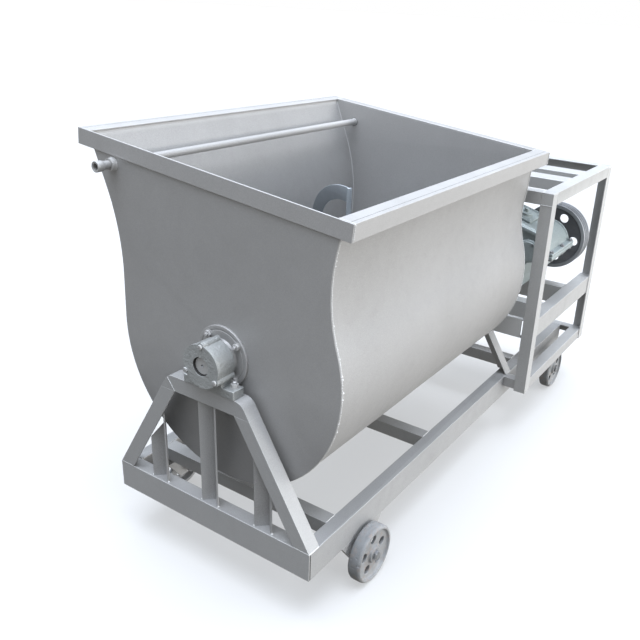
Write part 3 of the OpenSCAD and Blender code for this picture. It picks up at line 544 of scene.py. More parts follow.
def bead(bm, pts, r=3.0, seed=1, closed=False, sides=8, ripple=0.16, jitter=0.12):
    """A weld bead along a polyline: a bumpy tube with round ends."""
    pts = [Vector(p) for p in pts]
    if closed:
        pts = pts + [pts[0]]
    cum = [0.0]
    for a, b in zip(pts, pts[1:]):
        cum.append(cum[-1] + (b - a).length)
    total = cum[-1]
    n = max(3, int(total / (0.62 * r)))
    rnd = random.Random(seed)
    rings = []
    j = 0
    period = 1.5 * r
    wob = rnd.uniform(0, 6)
    for i in range(n + 1):
        s = total * i / n
        while j < len(cum) - 2 and cum[j + 1] < s:
            j += 1
        seg = max(cum[j + 1] - cum[j], 1e-6)
        p = pts[j].lerp(pts[j + 1], (s - cum[j]) / seg)
        t = (pts[j + 1] - pts[j]).normalized()
        ref = Vector((0, 0, 1)) if abs(t.z) < 0.8 else Vector((1, 0, 0))
        u = t.cross(ref).normalized()
        v = t.cross(u)
        rad = r * (1 + ripple * (abs(math.sin(math.pi * s / period + wob)) - 0.5) + rnd.uniform(-jitter, jitter))
        if not closed:
            e = min(s, total - s)
            if e < r:
                rad *= math.sqrt(max(0.04, 1 - (1 - e / r) ** 2))
        off = (u * rnd.uniform(-1, 1) + v * rnd.uniform(-1, 1)) * r * 0.06
        rings.append([bm.verts.new(p + off + (u * math.cos(2 * math.pi * k / sides) + v * math.sin(2 * math.pi * k / sides)) * rad) for k in range(sides)])
    pairs = list(zip(rings[:-1], rings[1:]))
    for a, b in pairs:
        for k in range(sides):
            q = (k + 1) % sides
            bm.faces.new((a[k], a[q], b[q], b[k]))
    bm.faces.new(rings[0][::-1])
    bm.faces.new(rings[-1])


def blob(bm, c, r, seed=1, squash=0.6):
    """A weld spot or a spatter drop: a lumpy half-sunk ball."""
    rnd = random.Random(seed)
    res = bmesh.ops.create_icosphere(bm, subdivisions=2, radius=1.0)
    for v in res["verts"]:
        k = r * (1 + rnd.uniform(-0.12, 0.12))
        v.co = Vector(c) + Vector((v.co.x * k, v.co.y * k, v.co.z * k * squash))


# ---------------------------------------------------------------- steel sections
for n in ("base_beam_right", "base_beam_left", "base_crossbar_near", "base_cross_angles", "near_a_frame_legs", "near_a_frame_bar",
          "near_a_frame_posts", "far_a_frame_legs", "far_a_frame_bar", "motor_frame_posts", "motor_frame_bottom_rails",
          "motor_frame_top_side_rails", "motor_frame_top_cross_rails", "motor_frame_mid_rails", "gearbox_bed_channels", "rim_left",
          "rim_right", "rim_near", "rim_far", "wheel_brackets"):
    # the base beams take a darker copy of the frame paint and the motor frame's posts and top rails a lighter one:
    # painted shade and painted light
    tone = "shaded_beam_paint" if n.startswith("base_beam") else "lit_motor_paint" if n.startswith(("motor_frame_posts", "motor_frame_top")) else None
    cad_copy(n, 1.5, 3, mat=tone)
for n in ("rotor_arms", "output_shaft", "input_shaft", "wheel_axles"):
    cad_copy(n, 0.8, 2)
cad_copy("shaft_coupling", 1.2, 3)
# the near end plate takes the darker copy of the trough paint: painted shade
cad_copy("near_end_plate", 0.7, 2, mat="shaded_plate_paint")

# ---------------------------------------------------------------- trough sheet
DR, WA, WR, LA, LZ, LR, LB = 420.0, 24.0, 511.0, 4.0, 110.0, 675.0, 28.0
rad = math.radians
C2 = (-(DR + WR) * math.cos(rad(WA)), (DR + WR) * math.sin(rad(WA)))
LS = (LZ + DR * math.sin(rad(LA))) / math.cos(rad(LA))
LP = (DR * math.cos(rad(LA)) + LS * math.sin(rad(LA)), LZ)
C3 = (LP[0] + LR * math.cos(rad(LA)), LP[1] - LR * math.sin(rad(LA)))


def arc(c, r, a0, a1, n):
    return [(c[0] + r * math.cos(rad(a0 + (a1 - a0) * i / n)), c[1] + r * math.sin(rad(a0 + (a1 - a0) * i / n))) for i in range(n + 1)]


def strip(t, zt=523.0):
    """The trough's section from the right-hand top edge down, round the drum and up the left wall; t inwards."""
    a_top = math.degrees(math.asin((zt - C2[1]) / (WR + t)))
    e3 = (C3[0] - (LR + t) * math.cos(rad(LB)), C3[1] + (LR + t) * math.sin(rad(LB)))
    k = (zt - e3[1]) / math.cos(rad(LB))
    top = (e3[0] + k * math.sin(rad(LB)), e3[1] + k * math.cos(rad(LB)))
    pts = arc(C2, WR + t, a_top, -WA, 44)
    pts += arc((0, 0), DR - t, 180 - WA, 360 - LA, 150)[1:]
    pts += [(pts[-1][0] + (LP[0] - t * math.cos(rad(LA)) - pts[-1][0]) * i / 8, pts[-1][1] + (LP[1] + t * math.sin(rad(LA)) - pts[-1][1]) * i / 8) for i in range(1, 8)]
    pts += arc(C3, LR + t, 180 - LA, 180 - LB, 28)
    pts += [(e3[0] + (top[0] - e3[0]) * i / 8, e3[1] + (top[1] - e3[1]) * i / 8) for i in range(1, 9)]
    return pts


def crease(x, z):
    """How far the far end of the right wall bulges under the rim, where the sheet is creased."""
    if x < 1150:
        return 0.0
    zl = 478 - (x - 1150) * 95 / 209
    d = 9.0 * (x - 1150) / 209
    if z >= 478:
        return 0.0
    if z >= zl:
        return d * (478 - z) / (478 - zl)
    return d * math.exp(-((zl - z) / 80) ** 2)


def sheet():
    from mathutils import noise as mn
    bm = bmesh.new()
    out, inn = strip(0.0), strip(4.0)
    xs = [71.0, 72.0, 76.0, 84.0] + [71 + (1354 - 71) * i / 72 for i in range(1, 72)] + [1342.0, 1350.0, 1353.0, 1354.0]
    xs = sorted(set(xs))
    rows = []
    n = len(out)
    for x in xs:
        e = min(1.0, (x - 71) / 60, (1354 - x) / 60)
        row = []
        for lay in (out, inn):
            vs = []
            for i, (y, z) in enumerate(lay):
                a, b = lay[max(0, i - 1)], lay[min(n - 1, i + 1)]
                t = Vector((b[0] - a[0], b[1] - a[1])).normalized()
                nrm = Vector((t.y, -t.x))
                if (nrm.x * y + nrm.y * (z - 150)) < 0:
                    nrm = -nrm
                f = e * min(1.0, i / 8, (n - 1 - i) / 8)
                w = 1.1 * mn.noise(Vector((x / 330, i / 26, 3.1))) + 0.35 * mn.noise(Vector((x / 90, i / 9, 8.7)))
                d = w * f
                cy = -crease(x, z) if y < -250 and z > 120 else 0.0
                vs.append(bm.verts.new((x, y + nrm.x * d + cy, z + nrm.y * d)))
            row.append(vs)
        rows.append(row)
    for (o0, i0), (o1, i1) in zip(rows[:-1], rows[1:]):
        for k in range(n - 1):
            bm.faces.new((o0[k], o0[k + 1], o1[k + 1], o1[k]))
            bm.faces.new((i0[k + 1], i0[k], i1[k], i1[k + 1]))
        for k in (0, n - 1):
            bm.faces.new((o0[k], o1[k], i1[k], i0[k]))
    for row in (rows[0], rows[-1]):
        for k in range(n - 1):
            bm.faces.new((row[0][k], row[0][k + 1], row[1][k + 1], row[1][k]))
    return done(bm, "v_trough_sheet", "trough_paint", "trough", 30, ("trough_sheet",), True)


sheet()
for n in ("rim_right", "rim_far", "rim_left"):
    ob = [o for o in bpy.data.objects if o.name == "v_" + n][0]
    for v in ob.data.vertices:
        q = v.co * 1000 - D
        y, z = q.y - SY, q.z - SZ
        yl, zl = y * CT + z * ST, -y * ST + z * CT
        if q.x > 1380 and yl < -300:
            v.co.x += (503 - zl) / 25 * 0.006 * min(1.0, (-300 - yl) / 60)


def far_plate():
    ob = cad_copy("far_end_plate", 0.7, 2)
    for v in ob.data.vertices:
        p = v.co * 1000 - D
        y, z = p.y - SY, p.z - SZ
        yl, zl = y * CT + z * ST, -y * ST + z * CT
        if yl < -300 and zl > 120:
            v.co = TP(p.x, yl - crease(1359, zl), zl)


far_plate()

# ---------------------------------------------------------------- glands, pipe, shaft
def gland(name, flip):
    bm = bmesh.new()
    prof = [(51, 27.6, 0.4), (51, 56.5, 1.5), (59, 57.5, 2.0), (59, 80), (60.3, 81.5, 0.5), (60.3, 83.5, 0.5), (59, 85), (59, 96, 1.4), (66, 96, 0.6), (66, 49.9), (77, 49.9, 1.2), (77, 27.6, 0.4)]
    prof = fillet([(1425 - q[0] if flip else q[0],) + tuple(q[1:]) for q in prof], 0.8, 3, True)
    lathe(bm, prof, at("X", (0, 0, 0)), 128, True)
    # packing follower on the boss
    f = [(47.2, 28.2), (47.2, 38), (51.2, 39.5), (51.2, 28.2)]
    lathe(bm, fillet([(1425 - a if flip else a, b) for a, b in f], 1.0, 3, True), at("X", (0, 0, 0)), 80, True)
    done(bm, "v_" + name, "trough_paint", "trough", 35, (name,), True)


gland("near_gland_flange", False)
gland("far_gland_flange", True)
bm = bmesh.new()
for i, a in enumerate((45, 135, 225, 315)):
    y, z = 78 * math.cos(rad(a)), 78 * math.sin(rad(a))
    stud_nut(bm, at("-X", (59, y, z)), 19.5, 0, 7.4, 6.0, 16, True, 0.2 + 0.31 * i)
    stud_nut(bm, at("X", (1366, y, z)), 19.5, 0, 7.4, 6.0, 16, True, 0.1 + 0.27 * i)
done(bm, "v_gland_bolts", "trough_paint", "trough", 32, ("gland_bolts",), True)
cad_copy("spray_pipe", 0, 1, smooth=30)
bm = bmesh.new()
lathe(bm, fillet([(2, 13.05), (2, 16.6, 1.2), (22, 16.6, 1.5), (27, 14.4, 1.0), (27, 13.05)], 0.6, 3, True), at("X", (0, 474, 452)), 48, True)
done(bm, "v_pipe_nipple", "trough_paint", "trough", 35, (), True)
bm = bmesh.new()
# a dark ring in the gap colour round the pipe at the far plate: painted shade
lathe(bm, fillet([(1352.2, 13.4), (1352.2, 17.2), (1354.2, 17.2), (1354.2, 13.4)], 0.4, 2, True), at("X", (0, 474, 452)), 48, True)


def slab(bm, x0, x1, y0, y1, z0, z1, n=1):
    """A thin strip, cut into n lengths along its longest side."""
    ext = [(x0, x1), (y0, y1), (z0, z1)]
    ax = max(range(3), key=lambda k: ext[k][1] - ext[k][0])
    a, b = ext[ax]
    o = [k for k in range(3) if k != ax]
    rows = []
    for i in range(n + 1):
        row = []
        for u, v in ((0, 0), (1, 0), (1, 1), (0, 1)):
            c = [0, 0, 0]
            c[ax] = a + (b - a) * i / n
            c[o[0]] = ext[o[0]][u]
            c[o[1]] = ext[o[1]][v]
            row.append(bm.verts.new(c))
        rows.append(row)
    for p, q in zip(rows[:-1], rows[1:]):
        for k in range(4):
            bm.faces.new((p[k], p[(k + 1) % 4], q[(k + 1) % 4], q[k]))
    bm.faces.new(rows[0][::-1])
    bm.faces.new(rows[-1])


# the open seams between the rim's angles and the sheets: dark strips of painted shade where the cracks lie in shadow
slab(bm, 65.3, 66.3, -352, 588, 476.8, 478.1, 60)
slab(bm, 70, 1396, -371.2, -370.2, 527.3, 528.15, 60)
slab(bm, 70, 1396, 607.8, 608.8, 527.3, 528.15, 60)
done(bm, "v_seams", "gap", "trough", 35, (), True)

bm = bmesh.new()
lathe(bm, [(-15, 0), (-15, 1.6), (-19, 1.7), (-22, 4.2), (-22, 26), (-20.6, 27.5), (1581.5, 27.5), (1583.5, 25.5), (1583.5, 0)], at("X", (0, SY, SZ)), 96)
ob = done(bm, "v_main_shaft", "machined_steel", "rotor", 30, ("main_shaft",))
ob.data.materials.append(M["frame_paint"])
x_face = P(-20.5, 0, 0).x
for p in ob.data.polygons:
    if p.center.x < x_face:
        p.material_index = 1


# ---------------------------------------------------------------- ribbons
def ribbon(bm, xa, xb, ph, r0, r1, t, round_at):
    """A flat helical ribbon with rounded edges and a rounded outer corner at one end."""
    n = 170
    per = -0.24
    step = math.hypot(1, r1 * rad(0.24))
    length = (xb - xa) * step
    rows = []
    for i in range(n + 1):
        s = i / n
        if round_at == "a":
            s = s ** 1.35
        else:
            s = 1 - (1 - s) ** 1.35
        x = xa + (xb - xa) * s
        a = rad(per * (x - 700) + ph)
        u = Vector((0, -math.sin(a), math.cos(a)))
        tan = Vector((1, 0, 0)) + u.cross(Vector((-1, 0, 0))) * 0
        ro = r1
        e = (s if round_at == "a" else 1 - s) * length
        rc = 15.0
        if e < rc:
            ro = r1 - (rc - math.sqrt(max(0.0, rc * rc - (rc - e) ** 2)))
        e2 = (1 - s if round_at == "a" else s) * length
        if e2 < 6:
            ro = min(ro, r1 - (6 - math.sqrt(max(0.0, 36 - (6 - e2) ** 2))))
        c = 0.9
        sec = [(-t / 2, r0 + c), (-t / 2 + c, r0), (t / 2 - c, r0), (t / 2, r0 + c), (t / 2, ro - c), (t / 2 - c, ro), (-t / 2 + c, ro), (-t / 2, ro - c)]
        rows.append([bm.verts.new(Vector((x + dx, SY, SZ)) + u * r) for dx, r in sec])
    for a, b in zip(rows[:-1], rows[1:]):
        for k in range(8):
            q = (k + 1) % 8
            bm.faces.new((a[k], a[q], b[q], b[k]))
    bm.faces.new(rows[0][::-1])
    bm.faces.new(rows[-1])


bm = bmesh.new()
ribbon(bm, 700, 1300, 0, 338, 390, 6, "a")
ribbon(bm, 100, 700, 180, 338, 390, 6, "b")
done(bm, "v_ribbons", "rotor_steel", "rotor", 40, ("ribbons",))
bm = bmesh.new()
for x, a0 in ((700, 0), (1000, -72), (1300, -144), (700, 180), (400, 252), (100, 324)):
    a = rad(a0)
    u = Vector((0, -math.sin(a), math.cos(a)))
    w = Vector((0, math.cos(a), math.sin(a)))
    o = Vector((x, SY, SZ))
    for sg in (-1, 1):
        # along the ribbon's face, both sides of the bar, and round the hub
        bead(bm, [o + u * 340 + w * 4.6 * sg + Vector((3.6, 0, 0)), o + u * 386 + w * 4.6 * sg + Vector((3.6, 0, 0))], 2.2, 11 + x)
        bead(bm, [o + u * 39.5 + w * 5 * sg + Vector((-9, 0, 0)), o + u * 39.5 + w * 5 * sg + Vector((9, 0, 0))], 2.6, 17 + x)
    bead(bm, [o + Vector((20.5 * 1, 0, 0)) + (w * math.cos(rad(k)) + u * math.sin(rad(k))) * 28.5 for k in range(0, 360, 10)], 2.4, 19 + x, True)
done(bm, "w_rotor", "rotor_steel", "rotor", 60)

# ---------------------------------------------------------------- bearings
cast("near_bearing_housing", 1.3, 3, "cast_paint")
cast("far_bearing_housing", 1.9, 3, "cast_paint")
bm = bmesh.new()
cad_copy("near_bearing_cap", 1.0, 3, mat="cast_paint")
# a dark lining inside the cap's bore round the shaft end: painted shade in the recess
lathe(bm, [(-28.6, 29.42), (-19, 29.42), (-19, 28.6), (-28.6, 29.2)], Matrix.Translation((0, SY, SZ)) @ Matrix.Rotation(rad(90), 4, "Y"), 72, True)
bmesh.ops.recalc_face_normals(bm, faces=bm.faces)
done(bm, "v_near_bore", "gap", "frame", 40)
bm = bmesh.new()
for i, a in enumerate((94, 212, 336)):
    y, z = SY + 64 * math.cos(rad(a)), SZ + 64 * math.sin(rad(a))
    mx = at("-X", (-30, y, z))
    washer(bm, mx, 4.4, 7.6, 0, 1.2)
    hexa(bm, mx, 13, 1.2, 6.4, turn=0.4 * i)
done(bm, "v_near_bearing_cap_bolts", "frame_paint", "frame", 32, ("near_bearing_cap_bolts",))
for nm, x in (("near_bearing_foot_bolts", 24), ("far_bearing_foot_bolts", 1464)):
    bm = bmesh.new()
    for i, sg in enumerate((-1, 1)):
        stud_nut(bm, at("Z", (x, SY + sg * 80, 538)), 20, 0, 9.5, 6.5, 19, True, 0.25 + 0.4 * i)
        mx = at("-Z", (x, SY + sg * 80, 505))
        washer(bm, mx, 6.5, 12, 0, 1.6)
        hexa(bm, mx, 20, 1.6, 9.2, turn=0.2)
    done(bm, "v_" + nm, "frame_paint", "frame", 32, (nm,))

# ---------------------------------------------------------------- wheels
def cart_wheel(name, x, s, seed):
    prof = [(-23, 12.6, 0.6), (-23, 28, 2.5), (2, 31, 5), (2, 79, 6), (-23, 83, 2.0), (-23, 94, 2.0), (-18, 98, 3.0), (0, 98.2), (16, 98, 4.0),
            (23, 93, 2.0), (23, 86, 1.5), (13, 83, 5), (13, 30, 5), (23, 27, 2.5), (23, 12.6, 0.6)]
    bm = bmesh.new()
    lathe(bm, fillet(prof, 1.0, 4, True), Matrix.Identity(4), 160, True)
    bmesh.ops.recalc_face_normals(bm, faces=bm.faces)
    a = temp(bm, "wheel_tmp")
    bm = bmesh.new()
    for k in range(5):
        t = rad(72 * k + 91)
        lathe(bm, [(-30, 0), (-30, 15), (30, 15), (30, 0)], Matrix.Translation((55 * math.cos(t), 55 * math.sin(t), 0)), 48)
    bmesh.ops.recalc_face_normals(bm, faces=bm.faces)
    c = temp(bm, "wheel_cut")
    bo = a.modifiers.new("b", "BOOLEAN")
    bo.operation = "DIFFERENCE"
    bo.solver = "EXACT"
    bo.object = c
    r = a.modifiers.new("r", "REMESH")
    r.mode = "VOXEL"
    r.voxel_size = 1.5
    sm = a.modifiers.new("s", "SMOOTH")
    sm.factor = 0.5
    sm.iterations = 3
    me = applied(a)
    bpy.data.objects.remove(c)
    from mathutils import noise as mn
    bm = bmesh.new()
    bm.from_mesh(me)
    bm.normal_update()
    for v in bm.verts:
        # worn, dented tread and a rough cast face
        rr = math.hypot(v.co.x, v.co.y)
        d = 0.35 * mn.noise(v.co / 22 + Vector((seed, 0, 0)))
        if rr > 90:
            d -= 1.1 * max(0.0, mn.noise(v.co / 11 + Vector((0, seed, 4))) - 0.42) * 4
        v.co += v.normal * d
    rot = Matrix.Rotation(rad(-90 if s > 0 else 90), 4, "X")
    mx = Matrix.Translation((x, s * 432, -72)) @ rot
    for v in bm.verts:
        v.co = mx @ v.co
    done(bm, "v_" + name, "wheel_iron", BODY[name], 60, (name,))


for n, x, sg, k in (("wheel_near_right", 290, -1, 1.3), ("wheel_near_left", 290, 1, 7.7), ("wheel_far_right", 1989, -1, 4.1), ("wheel_far_left", 1989, 1, 9.2)):
    cart_wheel(n, x, sg, k)
bm = bmesh.new()
for x in (290, 1989):
    for sg in (-1, 1):
        mx = at("Y" if sg > 0 else "-Y", (x, sg * 455, -72))
        washer(bm, mx, 12.6, 19, 0.2, 1.8)
        hexa(bm, mx, 30, 1.9, 8.6, 12.0, True, turn=0.2)
done(bm, "v_wheel_axle_nuts", "zinc_fasteners", "frame", 32, ("wheel_axle_nuts",))

# ---------------------------------------------------------------- gearbox
cast("gearbox_case", 2.4, 2)
cast("gearbox_cover", 2.2, 2)
cast("gearbox_bearing_caps", 2.2, 3)
cast("inspection_cover", 1.8, 3)
GX0, GX1, PY, IY = 1670.0, 1915.0, -344.0, -206.0
GY0, GY1 = -436.0, 152.0
bm = bmesh.new()
spots = [(GX0 - 13, y) for y in (GY0 - 14, (PY + IY) / 2, (IY + SY) / 2 - 9, SY + 100, GY1 + 14)] + [(x, y) for y in (GY0 - 14, GY1 + 14) for x in ((GX0 + GX1) / 2, GX1 - 8)]
for i, (x, y) in enumerate(spots):
    stud_nut(bm, at("Z", (x, y, 614)), 17, 0, 6.5, 5.4, 11.5, False, 0.2 * i)
    hexa(bm, at("-Z", (x, y, 586)), 17, 0, 7.5, turn=0.3 * i)
done(bm, "v_gearbox_bolts", "zinc_fasteners", "frame", 32, ("gearbox_bolts",))
bm = bmesh.new()
for i, (x, y) in enumerate([(x, y) for x in (1642, 1945) for y in (-255, 122)]):
    stud_nut(bm, at("Z", (x, y, 398)), 22, 0, 9, 6.9, 16, True, 0.2 * i)
    hexa(bm, at("-Z", (x, y, 375)), 22, 0, 12, turn=0.3 * i)
done(bm, "v_gearbox_foot_bolts", "zinc_fasteners", "frame", 32, ("gearbox_foot_bolts",))
# cap screws on the bearing caps
bm = bmesh.new()
for y, r, hz in ((SY, 59, 6), (IY, 40.5, 4), (PY, 40.5, 4)):
    for k in range(hz):
        a = rad(360 / hz * k + 30)
        for ax, x in (("-X", GX0 - 22), ("X", GX1 + 10 + (2 if y == PY else 0))):
            mx = at(ax, (x, y + r * math.cos(a), SZ + r * math.sin(a)))
            hexa(bm, mx, 11, -0.5, 4.6, turn=a)
done(bm, "v_cap_screws", "zinc_fasteners", "frame", 32)

# ---------------------------------------------------------------- pulley
R, W, PX = 152.0, 74.0, 1970.0
prof = [(-28, 17.5, 0.6), (-28, 36, 3), (10, 38, 5), (10, R - 20, 6), (0, R - 16, 1.5), (0, R - 1, 1.5), (2, R, 1)]
for k in range(3):
    prof += [(8 + 20 * k, R, 0.7), (13 + 20 * k, R - 12, 0.8), (19 + 20 * k, R - 12, 0.8), (24 + 20 * k, R, 0.7)]
prof += [(W - 2, R, 1), (W, R - 1, 1.5), (W, R - 16, 1.5), (22, R - 20, 6), (22, 38, 6), (60, 36, 2), (60, 17.5, 0.6)]
bm = bmesh.new()
lathe(bm, fillet(prof, 1.0, 4, True), at("X", (0, 0, 0)), 192, True)
bmesh.ops.recalc_face_normals(bm, faces=bm.faces)
wheel_ob = temp(bm, "pulley_tmp")
bm = bmesh.new()
for k in range(5):
    a = rad(72 * k + 203.6)
    lathe(bm, [(-6, 0), (-6, 21), (40, 21), (40, 0)], at("X", (0, 98 * math.sin(a), -98 * math.cos(a))), 64)
bmesh.ops.recalc_face_normals(bm, faces=bm.faces)
cut = temp(bm, "cut_tmp")
bo = wheel_ob.modifiers.new("b", "BOOLEAN")
bo.operation = "DIFFERENCE"
bo.solver = "EXACT"
bo.object = cut
bv = wheel_ob.modifiers.new("v", "BEVEL")
bv.limit_method = "ANGLE"
bv.angle_limit = rad(55)
bv.width = 1.6
bv.segments = 3
me = applied(wheel_ob)
bpy.data.objects.remove(cut)
bm = bmesh.new()
bm.from_mesh(me)
for v in bm.verts:
    v.co = v.co + Vector((PX, PY, SZ))
ob = done(bm, "v_drive_pulley", "pulley_iron", "input", 38, ("drive_pulley",))
ob.data.materials.append(M["groove"])
c = P(0, PY, SZ)
for p in ob.data.polygons:
    if math.hypot(p.center.y - c.y, p.center.z - c.z) > (R - 16.5) / 1000:
        p.material_index = 1
bm = bmesh.new()
mx = at("X", (0, PY, SZ))
washer(bm, mx, 17.6, 26, PX + 60.1, PX + 63.8, 48)
hexa(bm, mx, 36, PX + 64, PX + 75.6, 17.0, True, turn=0.25)
done(bm, "v_pulley_nut", "zinc_fasteners", "input", 32, ("pulley_nut",))

# ---------------------------------------------------------------- welds
bm = bmesh.new()
out, inn = strip(0.0, 478.0), strip(4.0, 520.0)
# seams between the plates and the sheet, outside and inside
for k, x in enumerate((70.6, 1354.4)):
    pts = [(x, y * 1.0 - (crease(1359, z) if k and y < -250 and z > 120 else 0), z) for y, z in out]
    bead(bm, pts, 2.3, 31 + k, ripple=0.22, jitter=0.2)
for k, x in enumerate((72.2, 1352.8)):
    pts = [(x, y - (crease(1354, z) if k and y < -250 and z > 120 else 0), z) for y, z in inn]
    bead(bm, pts, 2.2, 41 + k)
rnd = random.Random(5)
for k in range(34):
    i = rnd.randrange(6, len(out) - 6)
    blob(bm, (71 + rnd.uniform(0, 3), out[i][0], out[i][1]), rnd.uniform(2.4, 4.0), k, 0.8)
YL, YR = 622.7, -385.4
# rim corners, with the butt joints of the near and far bars
for y, s in ((YR, -1), (YL, 1)):
    bead(bm, [(66.2, y + 0.2 * s, 479), (66.2, y + 0.2 * s, 527.5)], 2.0, 51 + s, ripple=0.3, jitter=0.25)
    bead(bm, [(66.2, y - s * 1, 528), (66.2, y - s * 49, 528)], 1.3, 53 + s)
    bead(bm, [(1400, y + 0.2 * s, 479), (1400, y + 0.2 * s, 527.5)], 2.0, 55 + s, ripple=0.3, jitter=0.25)
    bead(bm, [(1355, y - s * 50.2, 528), (1399, y - s * 50.2, 528)], 1.2, 57 + s)
# stitches under the near rim and along the long rims
for k in range(5):
    y = YR + 95 + k * 195
    bead(bm, [(65.4, y, 477.6), (65.4, y + 34, 477.6)], 1.7, 61 + k)
for k in range(6):
    x = 140 + k * 225
    bead(bm, [(x, -349.5, 522.4), (x + 36, -349.5, 522.4)], 2.0, 71 + k)
# weld spots on the far rim's top
for k, y in enumerate((-250, -238, -231, 320, 330)):
    blob(bm, (1398 + (k % 3), y, 528.3), 2.8 + 0.5 * (k % 2), 80 + k, 0.6)
# pipe: a ring at each plate
for k, (x, r) in enumerate(((65.2, 19.3), (72, 13.6), (1352.5, 13.8))):
    bead(bm, [(x, 474 + r * math.cos(rad(a)), 452 + r * math.sin(rad(a))) for a in range(0, 360, 12)], 1.9, 90 + k, True)
done(bm, "w_trough", "weld", "trough", 60, (), True)

bm = bmesh.new()
LY = lambda z: 400 - (400 - 147) * (z - 97) / 413
ANG = math.atan((400 - 147) / 413.0)
LW = 50 / math.cos(ANG)
for side, (xf, d) in enumerate(((0, 1), (1490, -1))):
    for s in (-1, 1):
        # mitre between leg and bar, and the leg's foot on the base
        if s > 0:
            bead(bm, [(xf - 0.2 * d, s * (LY(460) - LW), 460.5), (xf - 0.2 * d, s * (LY(500) - 6), 500)], 1.3, 100 + side + s, ripple=0.3, jitter=0.25)
        bead(bm, [(xf + 1.5 * d, s * (LY(97) - LW) , 97.8), (xf + 1.5 * d, s * LY(97), 97.8)], 2.2, 104 + side + s)
        bead(bm, [(xf + 3 * d, s * (LY(99) + 1.0), 98), (xf + 47 * d, s * (LY(99) + 1.0), 98)], 2.2, 108 + side + s)
# uprights: top and bottom
for k, (y, zt) in enumerate(((-4, 504.5), (216, 300), (-220, 300))):
    for j, (dx, dy) in enumerate(((-33, 33), (-33, -33))):
        bead(bm, [(43, y, 97.6), (43 + dx, y + dy, 97.6)], 2.2, 120 + 3 * k + j)
    blob(bm, (8.5, y + 34, 98.5), 4.2, 130 + k, 0.8)
    blob(bm, (8.5, y - 34, 98.5), 4.0, 134 + k, 0.8)
# crossbar and beams
for k, s in enumerate((-1, 1)):
    bead(bm, [(49, s * 352, 97.2), (49, s * 394, 97.2)], 1.8, 140 + k)
    bead(bm, [(7.0, s * 393.5, 4), (7.0, s * 393.5, 90)], 1.2, 142 + k)
# cross angles on the beams' flanges
for k, x in enumerate((148, 765, 1606)):
    for s in (-1, 1):
        bead(bm, [(x + 2, s * 351.7, 97.2), (x + 48, s * 351.7, 97.2)], 1.6, 150 + 2 * k + s)
# motor frame: splices between posts and rails
for x, dx in ((1413, 1), (2203, -1)):
    for s in (-1, 1):
        y = s * 502
        bead(bm, [(x + 2 * dx, y - s * 0.4, 919), (x + 48 * dx, y - s * 0.4, 919)], 1.4, 160 + s, ripple=0.3, jitter=0.3)
        bead(bm, [(x - 0.3 * dx, y - s * 2, 874.2), (x - 0.3 * dx, y - s * 49, 874.2)], 1.4, 162 + s, ripple=0.3, jitter=0.3)
        bead(bm, [(x + 50.2 * dx, y - s * 0.2, 876), (x + 50.2 * dx, y - s * 0.2, 918)], 1.5, 166 + s)
        bead(bm, [(x + 50.2 * dx, y - s * 5.6, 298), (x + 50.2 * dx, y - s * 5.6, 378)], 1.8, 170 + s)
        bead(bm, [(x + 50.3 * dx, y - s * 2, 96), (x + 50.3 * dx, y - s * 2, 50)], 1.6, 174 + s)
for k, x in enumerate((1413 + 25, 1676 + 50, 1868 + 50, 2178)):
    for s in (-1, 1):
        bead(bm, [(x - 22, s * 451.8, 924), (x + 22, s * 451.8, 924)], 1.2, 180 + 2 * k + s)
# wheel brackets under the beams
for k, x in enumerate((290, 1989)):
    for s in (-1, 1):
        bead(bm, [(x - 112, s * 396.5, -1.0), (x + 112, s * 396.5, -1.0)], 1.4, 190 + 2 * k + s)
done(bm, "w_frame", "weld", "frame", 60)
bm = bmesh.new()
# dark strips at the corners of crossbar and beams: painted shade in the open joints
for s in (-1, 1):
    slab(bm, 3.6, 7.6, s * 399.2 - 1.2, s * 399.2 + 1.2, 3, 93, 8)
done(bm, "v_joints", "gap", "frame", 35)

# ---------------------------------------------------------------- floor and light
def plane(name, size, z, mat):
    bm = bmesh.new()
    bmesh.ops.create_grid(bm, x_segments=1, y_segments=1, size=size)
    me = bpy.data.meshes.new(name)
    bm.to_mesh(me)
    bm.free()
    ob = bpy.data.objects.new(name, me)
    ob.location = (0, 0, z)
    bpy.context.scene.collection.objects.link(ob)
    me.materials.append(mat)
    return ob


mt, nt, bs = new_mat("m_floor")
fl = noise(nt, coords(nt), 0.6, 2, 0.5)
nt.links.new(mix(nt, fl, srgb(134, 134, 134), srgb(138, 138, 138)), bs.inputs["Base Color"])
bs.inputs["Emission Color"].default_value = (0.97, 0.985, 1.0, 1)
bs.inputs["Emission Strength"].default_value = 0.46
bs.inputs["Roughness"].default_value = 0.9
bs.inputs["Specular IOR Level"].default_value = 0.1
floor = plane("floor", 150, -0.0005, mt)
# the ground's light on the object comes from the dome's lower half, so the white floor doesn't flatten it
floor.visible_diffuse = False
floor.visible_glossy = False


def sun(name, azimuth, elevation, strength, color, angle):
    """A soft far light that shines from that direction, in degrees; azimuth 0 is from +X, -90 from -Y."""
    ld = bpy.data.lights.new(name, "SUN")
    ld.energy = strength
    ld.color = color
    ld.angle = math.radians(angle)
    ob = bpy.data.objects.new(name, ld)
    bpy.context.scene.collection.objects.link(ob)
    az, el = math.radians(azimuth), math.radians(elevation)
    d = Vector((-math.cos(az) * math.cos(el), -math.sin(az) * math.cos(el), -math.sin(el)))
    ob.rotation_euler = d.to_track_quat("-Z", "Y").to_euler()
    ob.location = -d * 6
    return ob


# A soft dome: bright above and on the -Y side, dim towards -X, white at the horizon
world = bpy.data.worlds.new("world")
bpy.context.scene.world = world
world.use_nodes = True
wt = world.node_tree
bg = wt.nodes["Background"]
tc = wt.nodes.new("ShaderNodeTexCoord")
sep = wt.nodes.new("ShaderNodeSeparateXYZ")
wt.links.new(tc.outputs["Generated"], sep.inputs[0])


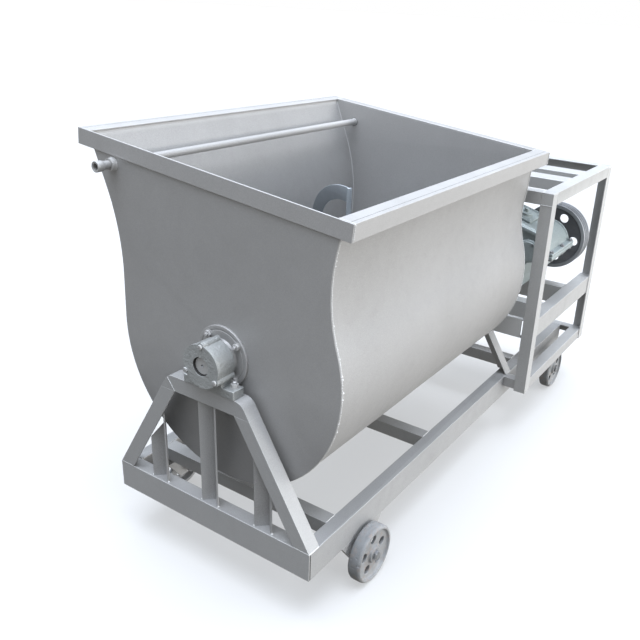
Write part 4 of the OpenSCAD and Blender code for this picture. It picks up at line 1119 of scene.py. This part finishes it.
def wm(op, a, b=None, clamp=False):
    n = wt.nodes.new("ShaderNodeMath")
    n.operation = op
    n.use_clamp = clamp
    for sock, val in ((n.inputs[0], a), (n.inputs[1], b)):
        if val is None:
            continue
        if isinstance(val, (int, float)):
            sock.default_value = val
        else:
            wt.links.new(val, sock)
    return n.outputs[0]


up = wm("MAXIMUM", sep.outputs["Z"], 0.0)
side = wm("MAXIMUM", wm("MULTIPLY", sep.outputs["Y"], -1.0), 0.0)
front = wm("MAXIMUM", wm("ADD", wm("MULTIPLY", sep.outputs["Y"], -0.85), wm("MULTIPLY", sep.outputs["X"], 0.5)), 0.0)
above = wm("GREATER_THAN", sep.outputs["Z"], 0.0)
dome = wm("ADD", wm("ADD", 0.10, wm("MULTIPLY", wm("POWER", up, 1.5), 2.9)), wm("MULTIPLY", wm("POWER", side, 2.0), 0.35))
ground = wm("ADD", 0.27, wm("MULTIPLY", wm("POWER", front, 2.0), 1.15))
dome = wm("ADD", wm("MULTIPLY", dome, above), wm("MULTIPLY", ground, wm("SUBTRACT", 1.0, above)))
band = wm("GREATER_THAN", 0.045, wm("ABSOLUTE", sep.outputs["Z"]))
wt.links.new(wm("MAXIMUM", dome, band), bg.inputs[1])
tint = wt.nodes.new("ShaderNodeMix")
tint.data_type = "RGBA"
wt.links.new(up, tint.inputs[0])
tint.inputs[6].default_value = (1.0, 1.0, 0.99, 1)
tint.inputs[7].default_value = (0.84, 0.955, 1.12, 1)
wt.links.new(tint.outputs[2], bg.inputs[0])
# the backdrop behind the floor's edge is plain and pale in every view
back = wt.nodes.new("ShaderNodeBackground")
back.inputs[0].default_value = (1.0, 1.0, 1.0, 1)
back.inputs[1].default_value = 1.0
seen = wt.nodes.new("ShaderNodeLightPath")
pick = wt.nodes.new("ShaderNodeMixShader")
wt.links.new(seen.outputs["Is Camera Ray"], pick.inputs[0])
wt.links.new(bg.outputs[0], pick.inputs[1])
wt.links.new(back.outputs[0], pick.inputs[2])
wt.links.new(pick.outputs[0], next(n for n in wt.nodes if n.type == "OUTPUT_WORLD").inputs[0])
sun("top_light", -150, 84, 3.5, (0.93, 0.975, 1.07), 40)
sun("side_light", -80, 4, 1.7, (1.0, 0.997, 0.988), 11)
ld = bpy.data.lights.new("far_light", "AREA")
ld.shape = "DISK"
ld.size = 1.6
ld.energy = 46
ld.color = (1.0, 0.998, 0.99)
ob = bpy.data.objects.new("far_light", ld)
bpy.context.scene.collection.objects.link(ob)
ob.visible_glossy = False
ob.location = P(2900, -2600, 1050)
ob.rotation_euler = (P(1500, -200, 700) - ob.location).to_track_quat("-Z", "Y").to_euler()

bpy.context.scene.view_settings.view_transform = "Standard"
bpy.context.scene.view_settings.look = "None"
bpy.context.scene.view_settings.exposure = 0.0
bpy.context.scene.view_settings.gamma = 1.0
